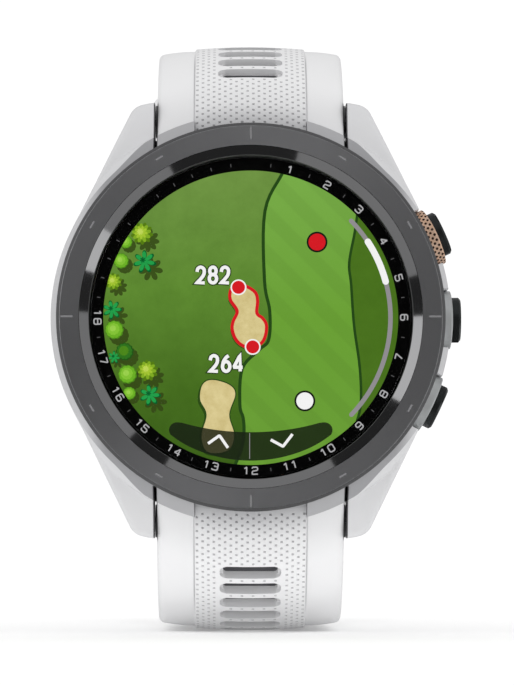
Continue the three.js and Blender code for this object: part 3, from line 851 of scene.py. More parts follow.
def make_dial_ring():
    profile = rounded([(RING_INNER, RING_LOW, 0.05), (RING_OUTER, RING_LOW, 0.05),
                       (RING_OUTER, RING_TOP, 0.05), (RING_INNER, RING_TOP, 0.05)], 3, hold=0.02)
    ring = build("hour_ring", turned(profile, 256), [black_print], 50)
    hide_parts("dial_ring")
    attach(ring, "head")
    low, high = RING_TOP - 0.01, RING_TOP + 0.02
    # the ring's printed numbers and ticks glow: painted light on print
    number_glow_look = lit("ring_number_paint_glow", NUMBER_TINT, glow=0.8)
    tick_glow_look = lit("ring_tick_paint_glow", srgb(150, 150, 152), glow=0.35)
    bodies = []
    for value in range(1, 19):
        plan = on_ring(15 * value, value < 7)
        bodies += number(str(value), 0.58, 0.74, 0.3, 0.135, low, high, plan)
    piece = build("ring_numbers", together(bodies), [number_glow_look])
    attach(piece, "head")
    ticks = []
    for half in range(48):
        clock = 7.5 * half
        between = half % 2 == 1 and 7.5 <= clock <= 277.5
        if between or 277.5 < clock < 312 or clock > 320:
            ticks.append(ribbon([at_clock(16.0, clock), at_clock(16.36, clock)], 0.09, low, high))
    piece = build("ring_ticks", together(ticks), [tick_glow_look])
    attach(piece, "head")


make_glass()
make_dial_ring()

# ---- The picture on the display: a plan of one golf hole ----
LAYER = 0.012  # each part of the picture lies this much above the one below
PICTURE_RADIUS = 16.0


def clip_to_circle(points, radius=PICTURE_RADIUS):
    out = []
    for x, y in points:
        length = math.hypot(x, y)
        share = min(1.0, radius / length) if length else 1.0
        out.append((x * share, y * share))
    return out


def rim_arc(start, end, steps=24):
    """Points on the picture's edge between two clock angles."""
    return [at_clock(PICTURE_RADIUS, start + (end - start) * i / steps) for i in range(steps + 1)]


def clock_of(point):
    return math.degrees(math.atan2(point[0], point[1]))


LEFT_EDGE = curve_through([(3.5, 15.6), (1.5, 11.3), (1.45, 3.9), (2.0, .7), (1.9, -2.3), (.9, -3.4),
                           (-.9, -5.4), (-1.15, -9.2), (-.8, -10.6), (-.72, -12.2), (-1.0, -13.9),
                           (-1.8, -15.9)])
RIGHT_EDGE = curve_through([(11.3, 11.3), (11.0, 9.1), (10.4, 5.8), (10.6, 3.5), (10.9, -.8), (11.5, -5.3),
                            (11.6, -9.1), (11.0, -11.6)])
NEAR_BUNKER = loop_through([(-2.09, 2.95), (-2.16, 1.9), (-1.44, .7), (-1.84, -.35), (-1.97, -1.14),
                            (-1.69, -2.11), (-1.05, -2.84), (0, -3.2), (1.05, -2.75), (1.53, -1.95),
                            (1.65, -.82), (1.28, -.1), (.65, .47), (.72, 1.74), (.49, 2.63), (-.4, 3.27),
                            (-1.4, 3.5)])
FAR_BUNKER = loop_through([(-5.13, -7.06), (-4.07, -6.53), (-2.22, -7.06), (-1.58, -8.12), (-2.22, -10.24),
                           (-1.69, -12.36), (-2.22, -13.95), (-3.8, -14.37), (-4.87, -13.95), (-5.24, -12.36),
                           (-4.71, -10.24), (-5.4, -8.65)])
SHRUBS = [  # x, y, radius, kind
    (-11.5, 8.9, 1.2, "spiky"), (-13.2, 8.0, .7, "bush"), (-13.7, 6.0, .82, "bush"),
    (-11.2, 5.9, 1.25, "palm"), (-14.5, 3.8, .95, "spiky"), (-14.6, .8, 1.05, "palm"),
    (-14.4, -1.3, 1.0, "bush"), (-13.3, -3.6, .95, "dark"), (-14.4, -4.2, .7, "palm"),
    (-13.0, -6.0, 1.0, "bush"), (-10.9, -5.6, 1.15, "spiky"),
    (-10.6, -8.2, 1.15, "palm"), (-12.8, -8.0, .69, "bush"),
]
SHRUB_LOOKS = {  # arms, depth of the gaps between them, how pointed they are, turn of each layer, layers
    "spiky": (9, .42, 1.0, .35, [(1, "olive_dark"), (.86, "olive"), (.6, "olive_light"), (.3, "olive_tip")]),
    "bush": (11, .09, .6, .45, [(1, "bush_dark"), (.9, "bush"), (.64, "bush_light"), (.32, "bush_tip")]),
    "dark": (13, .12, .6, .45, [(1, "leaf_dark"), (.88, "leaf"), (.55, "bush_dark")]),
    "palm": (7, .7, .8, 0, [(1, "palm_dark"), (.86, "palm"), (.26, "palm_dark")]),
}


def star(x, y, radius, arms, depth, turn, sharp):
    """A leafy outline: arms round a centre, pointed or round."""
    points = []
    steps = arms * 8
    for i in range(steps):
        angle = 2 * math.pi * i / steps
        wave = abs(math.cos(arms * angle / 2)) ** sharp
        reach = radius * (1 - depth + depth * wave)
        points.append((x + reach * math.cos(angle + turn), y + reach * math.sin(angle + turn)))
    return points


def crescent():
    """The see-through bar along the bottom of the display."""
    sweep, outer = 33, 15.1
    top, bottom = [], []
    for i in range(33):
        turn = sweep * (i / 16 - 1)
        top.append(at_clock(12.1 + 1.15 * (turn / sweep) ** 2, 180 + turn))
        bottom.append(at_clock(outer - 0.1 * (turn / sweep) ** 8, 180 + turn))
    left = [at_clock(14.2 + 0.85 * math.cos(t), 180 + sweep + 3.6 * math.sin(t))
            for t in np.linspace(2.7, 0.4, 8)]
    right = [at_clock(14.2 + 0.85 * math.cos(t), 180 - sweep - 3.6 * math.sin(t))
             for t in np.linspace(0.4, 2.7, 8)]
    return top + left + bottom[::-1] + right


def make_picture():
    rough = graded(lit("map_rough", (1, 1, 1, 1), (.62, .66, .58, 1), 420), [
        (0.0, srgb(66, 104, 30)), (0.25, srgb(78, 120, 36)), (0.6, srgb(104, 150, 56)),
        (1.0, srgb(122, 160, 76))])
    fair = striped(graded(lit("map_fairway", (1, 1, 1, 1), (.93, .95, .9, 1), 700), [
        (0.0, srgb(108, 160, 56)), (0.5, srgb(110, 164, 56)), (1.0, srgb(124, 176, 76))]), 1.5, 0.07)
    side = lit("map_side", srgb(80, 122, 34), srgb(66, 104, 26), 500)
    edge = lit("map_edge", srgb(40, 78, 26), srgb(34, 66, 22))
    sand = lit("map_sand", srgb(240, 226, 170), srgb(186, 166, 100), 900)
    red = lit("map_red", srgb(220, 30, 38), srgb(208, 26, 36))
    white = lit("map_white", srgb(250, 250, 250), srgb(240, 240, 240))
    black = lit("map_black", srgb(26, 30, 24), srgb(20, 24, 18))
    dim = lit("map_bar", srgb(30, 40, 24), srgb(26, 34, 20), clear=0.24)
    shade = lit("map_shadow", srgb(40, 70, 22), srgb(34, 60, 18), clear=0.45)
    grey = lit("map_grey", srgb(150, 146, 150), srgb(142, 140, 142))
    outline = lit("map_outline", srgb(44, 66, 30), srgb(38, 58, 26))
    shrub_shadow = lit("shrub_shadow", srgb(58, 78, 26), srgb(50, 68, 22), clear=0.3)
    leaves = [lit(name, srgb(*color), tuple(0.72 * c for c in srgb(*color)[:3]) + (1,), 3500)
              for name, color in (
        ("olive_dark", (92, 134, 22)), ("olive", (140, 186, 40)), ("olive_light", (176, 212, 56)),
        ("olive_tip", (206, 232, 96)), ("bush_dark", (82, 146, 30)), ("bush", (116, 190, 42)),
        ("bush_light", (142, 210, 60)), ("bush_tip", (166, 224, 84)), ("leaf_dark", (34, 92, 26)),
        ("leaf", (52, 124, 34)), ("palm_dark", (8, 100, 46)), ("palm", (38, 170, 80)))]
    looks = [rough, fair, side, edge, sand, red, white, black, dim, shade, grey, outline, shrub_shadow,
             *leaves]
    index = {look.name: i for i, look in enumerate(looks)}
    bodies = []

    def add(body, look, level):
        lift = PANEL_TOP + level * LAYER
        points = [(px, py, pz + lift) for px, py, pz in body[0]]
        bodies.append(zoned((points, body[1], body[2]), index[look]))

    def patch(outline, look, level):
        add(prism(clip_to_circle(outline), 0, LAYER * 0.8), look, level)

    def line(path, width, look, level, loop=False):
        add(ribbon(clip_to_circle(path), width, 0, LAYER * 0.8, loop), look, level)

    patch(rim_arc(0, 357.5, 143), "map_rough", 0)
    top_left, top_right = clock_of(LEFT_EDGE[0]), clock_of(RIGHT_EDGE[0])
    low_right, low_left = clock_of(RIGHT_EDGE[-1]), clock_of(LEFT_EDGE[-1]) + 360
    patch(rim_arc(top_left, top_right) + RIGHT_EDGE + rim_arc(low_right, low_left) + LEFT_EDGE[::-1],
          "map_fairway", 1)
    patch(rim_arc(top_right, low_right) + RIGHT_EDGE[::-1], "map_side", 1)
    line(LEFT_EDGE, 0.34, "map_edge", 2.4)
    line(RIGHT_EDGE, 0.28, "map_edge", 2.4)
    for bunker in (NEAR_BUNKER, FAR_BUNKER):
        patch([(x - 0.18, y - 0.22) for x, y in bunker], "map_shadow", 3.4)
        patch(bunker, "map_sand", 4.4)
    line(FAR_BUNKER, 0.12, "map_edge", 5.4, True)
    line(NEAR_BUNKER, 0.34, "map_red", 5.4, True)
    for x, y, rim, core in ((-1.3, 3.2, "map_white", "map_red"), (.2, -3.1, "map_white", "map_red")):
        patch(circle(0.84, x, y), rim, 6.4)
        patch(circle(0.69, x, y), core, 7.4)
    for x, y, core in ((7.0, 8.0, "map_red"), (5.7, -8.8, "map_white")):
        patch(circle(1.1, x, y), "map_black", 6.4)
        patch(circle(0.9, x, y), core, 7.4)
    for text, x, y in (("282", -4.0, 4.5), ("264", -2.6, -4.85)):
        for stroke, look, level in ((0.6, "map_outline", 8.4), (0.36, "map_white", 9.8)):
            for body in map_number(text, x, y, 0.82, 1.66, 0.46, stroke):
                add(body, look, level)
    for x, y, radius, kind in SHRUBS:
        arms, depth, point, twist, layers = SHRUB_LOOKS[kind]
        turn = float(rng.uniform(0, math.pi))
        patch(star(x + 0.5 * radius, y - 0.6 * radius, radius * 1.05, arms, depth * 0.8, turn, point),
              "shrub_shadow", 3.4)
        for k, (share, look) in enumerate(layers):
            lift = (1 - share) * 0.22 * radius
            leafy = star(x - lift, y + lift, radius * share, arms, depth, turn + twist * k, point)
            patch(leafy, look, 4.4 + k)
    patch(crescent(), "map_bar", 11)
    line([(-.12, -12.2), (-.12, -14.9)], 0.08, "map_grey", 12.2)
    line(rounded([(-4.5, -13.3, 0), (-3.3, -12.45, .1), (-2.4, -13.75, 0)], 4, False), 0.3, "map_white", 12.2)
    line(rounded([(2.1, -12.9, 0), (3.4, -13.6, .1), (4.4, -12.3, 0)], 4, False), 0.3, "map_white", 12.2)
    line([at_clock(14.75, clock) for clock in range(46, 135, 2)], 0.48, "map_grey", 6.4)
    line([at_clock(14.75, clock) for clock in range(57, 77, 2)], 0.68, "map_white", 7.4)
    for clock, width, look, level in ((46, .24, "map_grey", 6.6), (134, .24, "map_grey", 6.6),
                                      (57, .34, "map_white", 7.6), (75, .34, "map_white", 7.6)):
        patch(circle(width, *at_clock(14.75, clock), 20), look, level)
    picture = build("screen_picture", together(bodies), looks)
    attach(picture, "head")


make_picture()


# ---- Buttons ----
def make_buttons():
    for name, (angle, face, guard_face) in BUTTONS.items():
        frame_of = button_frame(angle)
        edge = face - 0.3
        cap = turned(rounded([
            (0, 17.15, 0), (0.7, 17.15, 0), (0.7, 17.25, 0), (0.5, 17.25, 0), (0.5, 17.7, 0), (0.7, 17.7, 0),
            (0.7, 20.5, 0), (2.4, 20.5, 0.08), (2.4, edge, 0.06), (2.15, face - 0.08, 0.12), (0, face, 0)],
            3, hold=0.02), 96)
        piece = build(name + "_cap", transformed(cap, frame_of), [button_black], 45)
        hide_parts(name + "_button_cap")
        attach(piece, name + "_button")
        look = guard_bronze if name == "upper" else guard_silver
        guard = turned(rounded([
            (2.5, 19.3, 0.05), (3.1, 19.3, 0.05), (3.1, guard_face, 0.16), (2.5, guard_face, 0.06)],
            4, hold=0.02), 144)
        # the collar's face follows the round of the case
        points = [(x, y, h - max(0, h - 20) * y * y / 90) for x, y, h in guard[0]]
        piece = build(name + "_guard", transformed((points, *guard[1:]), frame_of), [look], 45)
        if name == "upper":
            boolean(piece, together(knurl(frame_of)), sharp=45, material=bronze_pit_shade)
        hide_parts(name + "_button_guard")
        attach(piece, "head")


def knurl(frame_of):
    """Staggered rows of small pits round the guard."""
    count, pit = 32, 0.15
    pits = []
    for row, height in enumerate((21.45, 21.1, 20.75)):
        for i in range(count):
            turn = 2 * math.pi * (i + 0.5 * (row % 2)) / count
            cone = turned([(0, 2.88), (pit, 3.02), (pit, 3.2), (0, 3.2)], 8)
            lay = (Matrix.Translation((0, 0, height)) @ Matrix.Rotation(turn, 4, "Z")
                   @ Matrix.Rotation(math.pi / 2, 4, "Y"))
            pits.append(transformed(cone, frame_of @ lay))
    return pits


make_buttons()


# ---- Back ----
def make_back():
    rim = turned(rounded([(0, 0.3, 0), (14.3, 0.3, 0.4), (15.6, 1.0, 0.3), (19.0, 1.0, 0.12),
                          (19.0, 1.85, 0.05), (0, 1.85, 0)], 4, hold=0.03), 192)
    cover = build("back_shell", rim, [dark_polymer], 40)
    boolean(cover, together([disc(1.9, 1.0, 1.84, x, y) for x, y in SCREWS]), "UNION", 40)
    boolean(cover, together([disc(0.8, 0, 3, x, y, 32) for x, y in SCREWS]), sharp=40)
    port = prism(rounded_box(3.85, 1.85, 0.2, 0, -10.6), -1, 3)
    boolean(cover, together([disc(6.65, -1, 0.85, steps=128), port]), sharp=40)
    boolean(cover, disc(5.6, 0.5, 3, steps=96), sharp=40)
    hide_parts("back_cover")
    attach(cover, "head")
    window = turned(rounded([(0, 0, 0), (6.5, 0, 0.22), (6.5, 0.7, 0.05), (0, 0.7, 0)], 5, hold=0.02), 128)
    piece = build("sensor_glass", window, [back_glass], 45)
    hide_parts("sensor_window")
    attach(piece, "head")
    for i, (x, y) in enumerate(SCREWS):
        screw = turned(rounded([(0, 0.35, 0), (1.3, 0.35, 0.15), (1.3, 0.95, 0.04), (0.65, 0.95, 0),
                                (0.65, 5, 0.1), (0, 5, 0)], 3), 48)
        screw = transformed(screw, Matrix.Translation((x, y, 0)))
        piece = build(f"back_screw_head_{i + 1}", screw, [steel], 40)
        lobes = [(x + 0.1 * math.cos(6 * t) * math.cos(t) + 0.5 * math.cos(t),
                  y + 0.1 * math.cos(6 * t) * math.sin(t) + 0.5 * math.sin(t))
                 for t in np.arange(48) * math.pi / 24]
        boolean(piece, prism(lobes, 0, 0.7), sharp=40)
        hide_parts(f"back_screw_{i + 1}")
        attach(piece, "head")


make_back()


# ---- Strap ----
class Half:
    """One half of the strap: a route of arcs seen from the side. u runs outward, w towards the dial.
    slot_light is how far down a slot its light wall goes, before the dark one, whose near black is painted
    shade."""

    def __init__(self, name, side, centre, radius, arcs, flex, length, slots, ridge_end, slot_light,
                 recess_width):
        start = math.radians(25)
        self.name, self.side, self.arcs = name, side, [(radius, arcs[0][1]), *arcs[1:]]
        self.start = (centre[0] + radius * math.sin(start), centre[1] + radius * math.cos(start), start)
        self.centre, self.radius = centre, radius
        self.slot_light, self.recess_width = slot_light, recess_width
        self.flex, self.length, self.slots, self.ridge_end = flex, length, slots, ridge_end

    def at(self, s):
        u, w, angle = self.start
        for i, (radius, length) in enumerate(self.arcs):
            step = s if i == len(self.arcs) - 1 else min(s, length)
            if radius:
                turn = angle + step / radius
                u += radius * (math.sin(turn) - math.sin(angle))
                w += radius * (math.cos(turn) - math.cos(angle))
                angle = turn
            else:
                u += step * math.cos(angle)
                w -= step * math.sin(angle)
            s -= step
        return u, w, angle

    def point(self, s, b):
        u, w, angle = self.at(s)
        return u + b * math.sin(angle), w + b * math.cos(angle)

    def seat(self, s, b=0.0):
        """x across the strap, y along it and z out of its outer face."""
        u, w = self.point(s, b)
        angle = self.at(s)[2]
        return Matrix(((self.side, 0, 0, 0),
                       (0, self.side * math.cos(angle), self.side * math.sin(angle), self.side * u),
                       (0, -math.sin(angle), math.cos(angle), w), (0, 0, 0, 1)))

    def front(self, x):
        """Where the outer face starts, at x across the strap."""
        u = math.sqrt(FRONT_RADIUS ** 2 - x * x)
        return self.radius * (math.asin((u - self.centre[0]) / self.radius) - math.radians(25))


DEG = math.pi / 180
UPPER = Half("upper", 1, (4.85, -13.1), 26.5, [(26.5, 26.5 * 45 * DEG), (11.5, 11.5 * 20 * DEG), (90, 0)],
             27.5, 79, (12.86, 2.65, 46), 49, 0.83, 6.95)
LOWER = Half("lower", -1, (2.9, -17.77), 31.5,
             [(31.5, 31.5 * 41 * DEG), (13, 13 * 24 * DEG), (0, 25), (110, 0)],
             30.5, 121, (12.1, 2.7, 111), 115, 1.07, 6.6)
DIMPLE_COLUMNS, COLUMN_PITCH, DIMPLE_REACH, DIMPLE_DEPTH = 20, 0.6, 0.14, 0.2
EDGE_ROUND = 0.55
KNUCKLE = 1.8
BOSS_HALF = 10.13  # the bosses round the bar's ends almost fill the gap between the lugs
ROOT_END = 11.0


def across_lines():
    """Lines across the top of the strap, as (x, height above the flank, dimple column or None)."""
    lines = []
    for x in np.linspace(-STRAP_HALF + EDGE_ROUND, -RIDGE_HALF - 0.14, 7):
        lines.append((x, 0.0, None))
    lines += [(-RIDGE_HALF - 0.05, 0.03, None), (-RIDGE_HALF, 0.14, None), (-RIDGE_HALF + 0.02, 0.36, None),
              (-RIDGE_HALF + 0.05, 0.46, None), (-RIDGE_HALF + 0.09, RIDGE_HEIGHT, None)]
    for k in range(DIMPLE_COLUMNS):
        middle = (k - (DIMPLE_COLUMNS - 1) / 2) * COLUMN_PITCH
        for shift in (-DIMPLE_REACH, 0, DIMPLE_REACH):
            lines.append((middle + shift, RIDGE_HEIGHT, k if shift == 0 else None))
    mirrored = [(-x, height, None) for x, height, _ in lines[:12]][::-1]
    return lines + mirrored


def root_bottom(half, share, x):
    """The underside from the front edge, round the knuckle, to where the plain strap begins."""
    front = math.sqrt(FRONT_RADIUS ** 2 - x * x)
    arc = [(BAR_Y + KNUCKLE * math.cos(a), BAR_Z + KNUCKLE * math.sin(a))
           for a in np.linspace(math.pi, 2 * math.pi - 20 * DEG, 20)]
    path = np.array([(front, 5.0), (FRONT_RADIUS, 5.0), *arc, half.point(ROOT_END, -STRAP_THICK)])
    lengths = np.concatenate([[0], np.cumsum(np.linalg.norm(np.diff(path, axis=0), axis=1) + 1e-9)])
    at = share * lengths[-1]
    return np.interp(at, lengths, path[:, 0]), np.interp(at, lengths, path[:, 1])


def strap_stations(half):
    """Places along the strap: fine rows where dimples are, and wider ones after the ridge."""
    slot_start, pitch, _ = half.slots
    row = pitch / 6
    bar = slot_start - (pitch - SLOT_LENGTH) / 2
    first = bar - row * math.floor((bar - 4.5) / row)
    rows = []
    count = int((half.ridge_end - 0.8 - first) / row)
    for i in range(count):
        s = first + i * row
        number_of = round((s - bar) / row)
        rows += [(s - DIMPLE_REACH, None), (s, number_of), (s + DIMPLE_REACH, None)]
    s = rows[-1][0]
    end = half.length - (0.0 if half.side > 0 else 0.02)
    rest = [s + 0.25, s + 0.5, s + 0.75, s + 1.0, s + 1.25]
    tip = STRAP_HALF if half.side < 0 else 0
    rest += list(np.arange(s + 2.2, end - tip, 1.0))
    if tip:
        rest += [end - tip + tip * math.sin(a) for a in np.linspace(0, math.pi / 2, 26)]
    else:
        rest.append(end)
    return [None, 0.5] + rows + [(s, None) for s in rest if s > rows[-1][0] + 0.01]


def in_slot(half, s, x):
    start, pitch, end = half.slots
    if s < start - 0.05 or s > end + 0.4 or abs(x) > half.recess_width / 2 + 0.25:
        return False
    along = (s - start) % pitch
    on_bar = along > SLOT_LENGTH + 0.1
    return not (on_bar and abs(x) < SLOT_WIDTH / 2)


def strap_body(half):
    lines = across_lines()
    arc = np.linspace(math.pi, math.pi / 2, 5)[:-1]
    left = [(-STRAP_HALF + EDGE_ROUND + EDGE_ROUND * math.cos(a), EDGE_ROUND * (math.sin(a) - 1))
            for a in arc]
    top = [(x, b, None) for x, b in left] + lines + [(-x, b, None) for x, b in left[::-1]]
    bottom_edge = [(STRAP_HALF - EDGE_ROUND * (1 - math.sin(a)), EDGE_ROUND * (1 - math.cos(a)))
                   for a in np.linspace(math.pi / 2, 0, 5)]
    flat = list(np.linspace(STRAP_HALF - EDGE_ROUND, -STRAP_HALF + EDGE_ROUND, 9))[1:-1]
    bottom = bottom_edge + [(x, 0.0) for x in flat] + [(-x, c) for x, c in bottom_edge[::-1]]
    stations = strap_stations(half)
    first_row = stations[2][0]
    points, pits = [], set()
    for i, station in enumerate(stations):
        if i < 2:
            s_of = lambda x, mix=(station or 0.0): half.front(x) * (1 - mix) + first_row * mix
            row = None
        else:
            s_here, row = station
            s_of = lambda x, s=s_here: s
        s_mid = s_of(0.0)
        fade = 1 - min(1.0, max(0.0, (s_mid - half.ridge_end + 1.2) / 1.2)) ** 2
        narrow = 1.0
        if half.side < 0 and s_mid > half.length - STRAP_HALF:
            share = (s_mid - half.length + STRAP_HALF) / STRAP_HALF
            narrow = math.sqrt(max(0.0004, 1 - share ** 2))
        root_start = half.front(0)
        for x, b, column in top:
            s = s_of(x)
            if abs(x) >= RIDGE_HALF:
                b -= FLANK_CROWN * ((abs(x) - RIDGE_HALF) / (STRAP_HALF - RIDGE_HALF)) ** 2
            else:
                b = b * fade - RIDGE_CROWN * fade * (x / RIDGE_HALF) ** 2 * (b / RIDGE_HEIGHT)
            dimple = row is not None and column is not None and (row + column) % 2 == 0
            if dimple and not in_slot(half, s, x) and s < half.ridge_end - 1.5:
                b -= DIMPLE_DEPTH
                pits.add(len(points))
            u, w = half.point(s, b)
            points.append((x * narrow, half.side * u, w))
        for x, c in bottom:
            share = (s_mid - root_start) / (ROOT_END - root_start)
            if share < 1:
                under = root_bottom(half, max(0.0, share), x)
                over = half.point(s_of(x), 0)
                away = np.array(over) - under
                u, w = np.array(under) + away / np.linalg.norm(away) * c
            else:
                u, w = half.point(s_mid, -STRAP_THICK + c)
            points.append((x * narrow, half.side * u, w))
    faces = loft_faces(len(top) + len(bottom), len(stations))
    # faces that touch a dimple take the second material, the darker grey of painted shade in the pits
    return closed(points, faces, [0 if pits.isdisjoint(face) else 1 for face in faces])


def slot_cutters(half):
    """The through slots, in an upper and a lower part, and the shallow recess that each one sits in. The faces
    they cut take painted shade: grey on the slot walls and the recess, near black on the lower part, where the
    slot's depth is dark.
    """
    start, pitch, end = half.slots
    slots, feet, recesses = [], [], []
    middle = start + SLOT_LENGTH / 2
    while middle < end + SLOT_LENGTH / 2:
        seat = half.seat(middle)
        half_length = SLOT_LENGTH / 2
        outline = rounded_box(SLOT_WIDTH / 2, half_length, 0.45)
        slots.append(transformed(prism(outline, RIDGE_HEIGHT - half.slot_light, RIDGE_HEIGHT + 1), seat))
        foot = rounded_box(SLOT_WIDTH / 2 - 0.02, half_length - 0.02, 0.45)
        feet.append(transformed(prism(foot, -STRAP_THICK - 1, RIDGE_HEIGHT - half.slot_light + 0.1), seat))
        recess = rounded_box(half.recess_width / 2, half_length * 0.92, half_length * 0.7)
        recesses.append(transformed(prism(recess, RIDGE_HEIGHT - 0.6, RIDGE_HEIGHT + 1), seat))
        middle += pitch
    return together(slots), together(feet), together(recesses)


def shoulders(half):
    """The raised shoulders beside the ridge, which carry on the cone round the bezel."""
    profile = rounded([(FRONT_RADIUS, 6.0, 0), (BAND_RADIUS, 6.0, 0), (BAND_RADIUS, BAND_FOOT, 0.03),
                       (BAND_TOP_RADIUS, BAND_TOP, 0.05), (FRONT_RADIUS, BAND_TOP, 0)], 2)
    bodies = []
    for side in (-1, 1):
        inner, outer = side * (RIDGE_HALF + 0.02), side * (STRAP_HALF - 0.03)
        points = []
        steps = 14
        for i in range(steps + 1):
            x = inner + (outer - inner) * i / steps
            for r, z in profile:
                points.append((x, half.side * math.sqrt(max(0.0, r * r - x * x)), z))
        bodies.append(closed(points, loft_faces(len(profile), steps + 1)))
    return together(bodies)


def make_strap(half, last=None):
    strap = build(half.name + "_strap_band", strap_body(half), [strap_silicone, pit_shade_silicone], 32)
    boolean(strap, shoulders(half), "UNION", 32)
    boss = rod(KNUCKLE - 0.05, -BOSS_HALF, BOSS_HALF, half.side * BAR_Y, BAR_Z, 64, 0.03)
    boolean(strap, boss, "UNION", 32)
    if last:
        last(strap)
    slots, feet, recesses = slot_cutters(half)
    boolean(strap, slots, sharp=32, material=painted_slot_shade)
    boolean(strap, feet, sharp=32, material=slot_shadow_foot)
    boolean(strap, recesses, sharp=32, material=recess_shade_wall)
    boolean(strap, rod(BORE_RADIUS, -11, 11, half.side * BAR_Y, BAR_Z), sharp=32)
    side = half.side * BAR_Y
    notch = [(4.0, side - 1), (7.0, side - 1), (7.0, side + 1), (4.0, side + 1)]
    boolean(strap, prism(notch, 1, BAR_Z), sharp=32)
    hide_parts(half.name + "_strap_root", half.name + "_strap_tail")
    for s in (half.flex - 3, half.flex + 3):
        u, w = half.point(s, -STRAP_THICK / 2)
        spot(0, half.side * u, w)
    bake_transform(strap)


def rolled_end(strap):
    """The end that wraps the buckle's bar, open in the middle for the tongue."""
    u, w = UPPER.point(UPPER.length, -STRAP_THICK / 2)
    boolean(strap, rod(1.9, -STRAP_HALF + 0.02, STRAP_HALF - 0.02, u, w, 64, 0.3), "UNION", 32)
    seat = UPPER.seat(UPPER.length, -STRAP_THICK / 2)
    notch = transformed(prism(rounded_box(3.1, 3.6, 0.5, 0, 0.4), -4, 4), seat)
    boolean(strap, notch, sharp=32)
    boolean(strap, rod(0.95, -11, 11, u, w), sharp=32)


make_strap(UPPER, rolled_end)
make_strap(LOWER)


# ---- Keepers and buckle ----
def keeper_field(x, y, z):
    """A band round the strap, with soft edges. x across, y along and z out of the strap."""
    inner_half, low, high, wall, length = 10.2, -2.25, 3.2, 1.2, 4.5
    middle, reach = (low + high) / 2, (high - low) / 2
    outer = box_field(x, y, z, (0, 0, middle), (inner_half + wall, length / 2 + 3, reach + wall), 1.5)
    hole = box_field(x, y, z, (0, 0, middle), (inner_half, length, reach), 0.6)
    band = both(without(outer, hole, 0.25), np.abs(y) - length / 2, 0.3)
    return band


def make_keepers():
    for name, s, body in (("free", 58, "keeper"), ("fixed", 69, "upper_strap_end")):
        shape = surface(keeper_field, (-11.4, -2.25, -3.45), (11.4, 2.25, 4.4), 0.2)
        piece = build(name + "_keeper_band", transformed(shape, UPPER.seat(s)), [strap_silicone], 60)
        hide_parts(name + "_keeper")
        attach(piece, body)


def buckle_field(x, y, z):
    arm = np.minimum(box_field(x, y, z, (11.3, 4.05, 0), (0.95, 5.55, 1.0), 0.4),
                     box_field(x, y, z, (-11.3, 4.05, 0), (0.95, 5.55, 1.0), 0.4))
    bar = box_field(x, y, z, (0, 8.5, 0), (12.25, 1.1, 1.0), 0.55)
    hole = np.hypot(y, z) - 0.9
    return without(either(arm, bar, 0.5), hole, 0.08)


def tongue_field(x, y, z):
    slope = 0.9 + 0.07 * y
    half_width = 1.5 + 0.8 * np.clip((6 - y) / 6, 0, 1)
    shank = box_field(x, y, z - slope - 0.05, (0, 5.25, 0), (half_width, 4.0, 0.42), 0.3)
    loop = both(np.hypot(y, z) - 1.7, np.abs(x) - 2.6, 0.25)
    return without(either(loop, shank, 0.6), np.hypot(y, z) - 0.9, 0.06)


def make_buckle():
    seat = UPPER.seat(UPPER.length, -STRAP_THICK / 2)
    frame_shape = surface(buckle_field, (-12.3, -1.6, -1.05), (12.3, 9.7, 1.05), 0.13)
    tongue_shape = surface(tongue_field, (-2.65, -1.75, -1.75), (2.65, 9.35, 2.2), 0.11)
    bar = transformed(rod(0.8, -12.15, 12.15, 0, 0, 48, 0.12), seat)
    for name, shape, node, body in (
            ("buckle_loop", transformed(frame_shape, seat), "buckle_frame", "buckle"),
            ("buckle_pin", transformed(tongue_shape, seat), "buckle_tongue", "tongue"),
            ("buckle_axle", bar, "buckle_bar", "buckle")):
        piece = build(name, shape, [steel], 60)
        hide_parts(node)
        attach(piece, body)


make_keepers()
make_buckle()


# ---- Studio ----
FLOOR_Z = cad_low.z - 0.0001


def make_floor():
    size = 3.0
    mesh = bpy.data.meshes.new("floor")
    corners = [(-size, -size, FLOOR_Z), (size, -size, FLOOR_Z), (size, size, FLOOR_Z), (-size, size, FLOOR_Z)]
    mesh.from_pydata(corners, [], [[0, 1, 2, 3]])
    floor = bpy.data.objects.new("floor", mesh)
    bpy.context.scene.collection.objects.link(floor)
    mesh.materials.append(finish_of("floor_paper", (0.98, 0.98, 0.98, 1), 0.7, tint=(0.97, 0.97, 0.97, 1),
                                    tint_scale=3, Specular_IOR_Level=0.0, Emission_Color=(1, 1, 1, 1),
                                    Emission_Strength=0.125))
    floor.visible_glossy = False


# The studio's cards: the clock hour where each one's reflection starts on the bezel's
# polished chamfer, and how bright the card is.
BLACK_CARD, GREY_CARD, WHITE_CARD = 0.03, 0.3, 0.8
STUDIO_CARDS = [
    (6, GREY_CARD), (7, BLACK_CARD), (7.5, GREY_CARD), (9, BLACK_CARD), (9.5, WHITE_CARD), (10, GREY_CARD),
    (11, BLACK_CARD), (12.5, GREY_CARD), (14.5, BLACK_CARD), (15, WHITE_CARD), (16, BLACK_CARD), (17, GREY_CARD),
]


def mirrored_cards():
    """Where the cards stand: each across the dial from its reflection, and a little higher, since the
    camera looks up."""
    cards = []
    for hour, bright in STUDIO_CARDS:
        across = 30 * hour - 180
        place_on_ring = (across - 4 * math.sin(math.radians(across))) / 360
        cards.append((place_on_ring, (bright, bright, bright * 1.02, 1)))
    return cards


SOFT_HORIZON, SOFT_ZENITH = 0.58, 1.1


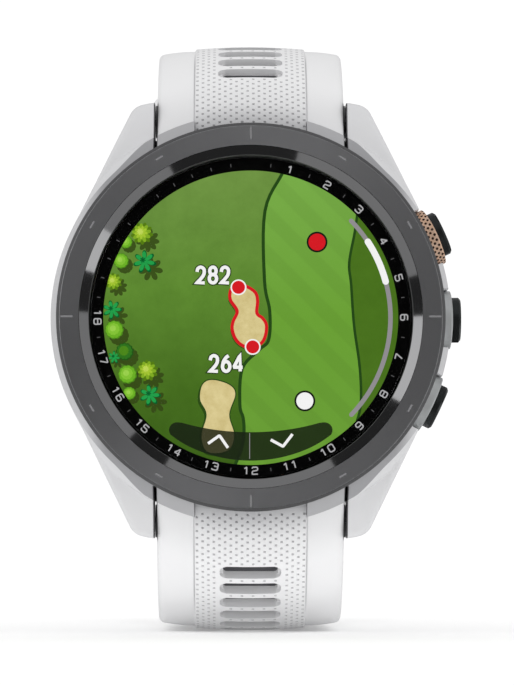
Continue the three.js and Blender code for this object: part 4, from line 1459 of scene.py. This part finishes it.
def make_world():
    """A soft sky that lights the scene, plain white behind it, and the studio's cards for what mirrors."""
    world = bpy.data.worlds.new("studio")
    bpy.context.scene.world = world
    graph = Graph(world)
    world.cycles.sampling_method = "NONE"  # so that each kind of ray meets its own background
    graph.nodes.clear()
    toward = graph.add("TexCoord", output="Generated")
    x, y, z = (graph.add("SeparateXYZ", {"Vector": toward}, axis) for axis in "XYZ")
    turn = graph.math("WRAP", graph.math("ARCTAN2", x, z), 2 * math.pi, 0)
    cards = graph.ramp(graph.math("DIVIDE", turn, 2 * math.pi), mirrored_cards(), "CONSTANT")
    ahead = graph.span(y, -0.995, -0.80, 0, 1)
    mirrored = graph.add("Background", {"Color": graph.mix(ahead, (0.01, 0.01, 0.01, 1), cards)})
    glow = graph.span(z, 0, 1, SOFT_HORIZON, SOFT_ZENITH)
    soft = graph.add("Background", {"Color": (1, 1, 1, 1), "Strength": glow})
    white = graph.add("Background", {"Color": (1, 1, 1, 1), "Strength": 1.05})
    glossy, seen = (graph.add("LightPath", output=f"Is {kind} Ray") for kind in ("Glossy", "Camera"))
    lighting = graph.add("MixShader", {0: glossy, 1: soft, 2: mirrored})
    shown = graph.add("MixShader", {0: seen, 1: lighting, 2: white})
    graph.feed(graph.nodes.new("ShaderNodeOutputWorld"), "Surface", shown)


def soft_box(name, location, aim, size, power):
    data = bpy.data.lights.new(name, "AREA")
    data.shape = "RECTANGLE"
    data.size, data.size_y = size
    data.energy = power
    lamp = bpy.data.objects.new(name, data)
    bpy.context.scene.collection.objects.link(lamp)
    lamp.location = location
    lamp.rotation_mode = "QUATERNION"
    lamp.rotation_quaternion = (Vector(aim) - Vector(location)).to_track_quat("-Z", "Y")
    lamp.visible_glossy = False
    lamp.visible_camera = False


def make_camera():
    """The camera stands a little below the dial's axis and looks up at it."""
    distance, below, left = 0.420, math.radians(3.0), math.radians(0.4)
    target = spot(0.64, -2.75, BEZEL_TOP)
    back = Vector((-math.sin(left), -math.cos(below), -math.sin(below))).normalized()
    data = bpy.data.cameras.new("camera")
    data.lens, data.sensor_width = 210.3, 36
    data.clip_start = 0.01
    camera = bpy.data.objects.new("camera", data)
    bpy.context.scene.collection.objects.link(camera)
    camera.location = target + back * distance
    camera.rotation_mode = "QUATERNION"
    camera.rotation_quaternion = (-back).to_track_quat("-Z", "Y")
    bpy.context.scene.camera = camera


LIGHTS = [  # name, place, point it is aimed at, size, power in watts
    ("front_light", (-0.15, -0.9, 0.25), (0, 0, 0), (0.7, 0.7), 0.6),
    ("low_light", (0.0, -0.8, 0.02), (0, 0, 0), (0.8, 0.25), 0.4),
    ("floor_light", (0.0, -0.012, -0.0329), (0, -0.012, 0), (0.06, 0.024), 0.0011),
]

make_floor()
make_world()
for light in LIGHTS:
    soft_box(*light)
make_camera()
bpy.context.scene.view_settings.view_transform = "Standard"
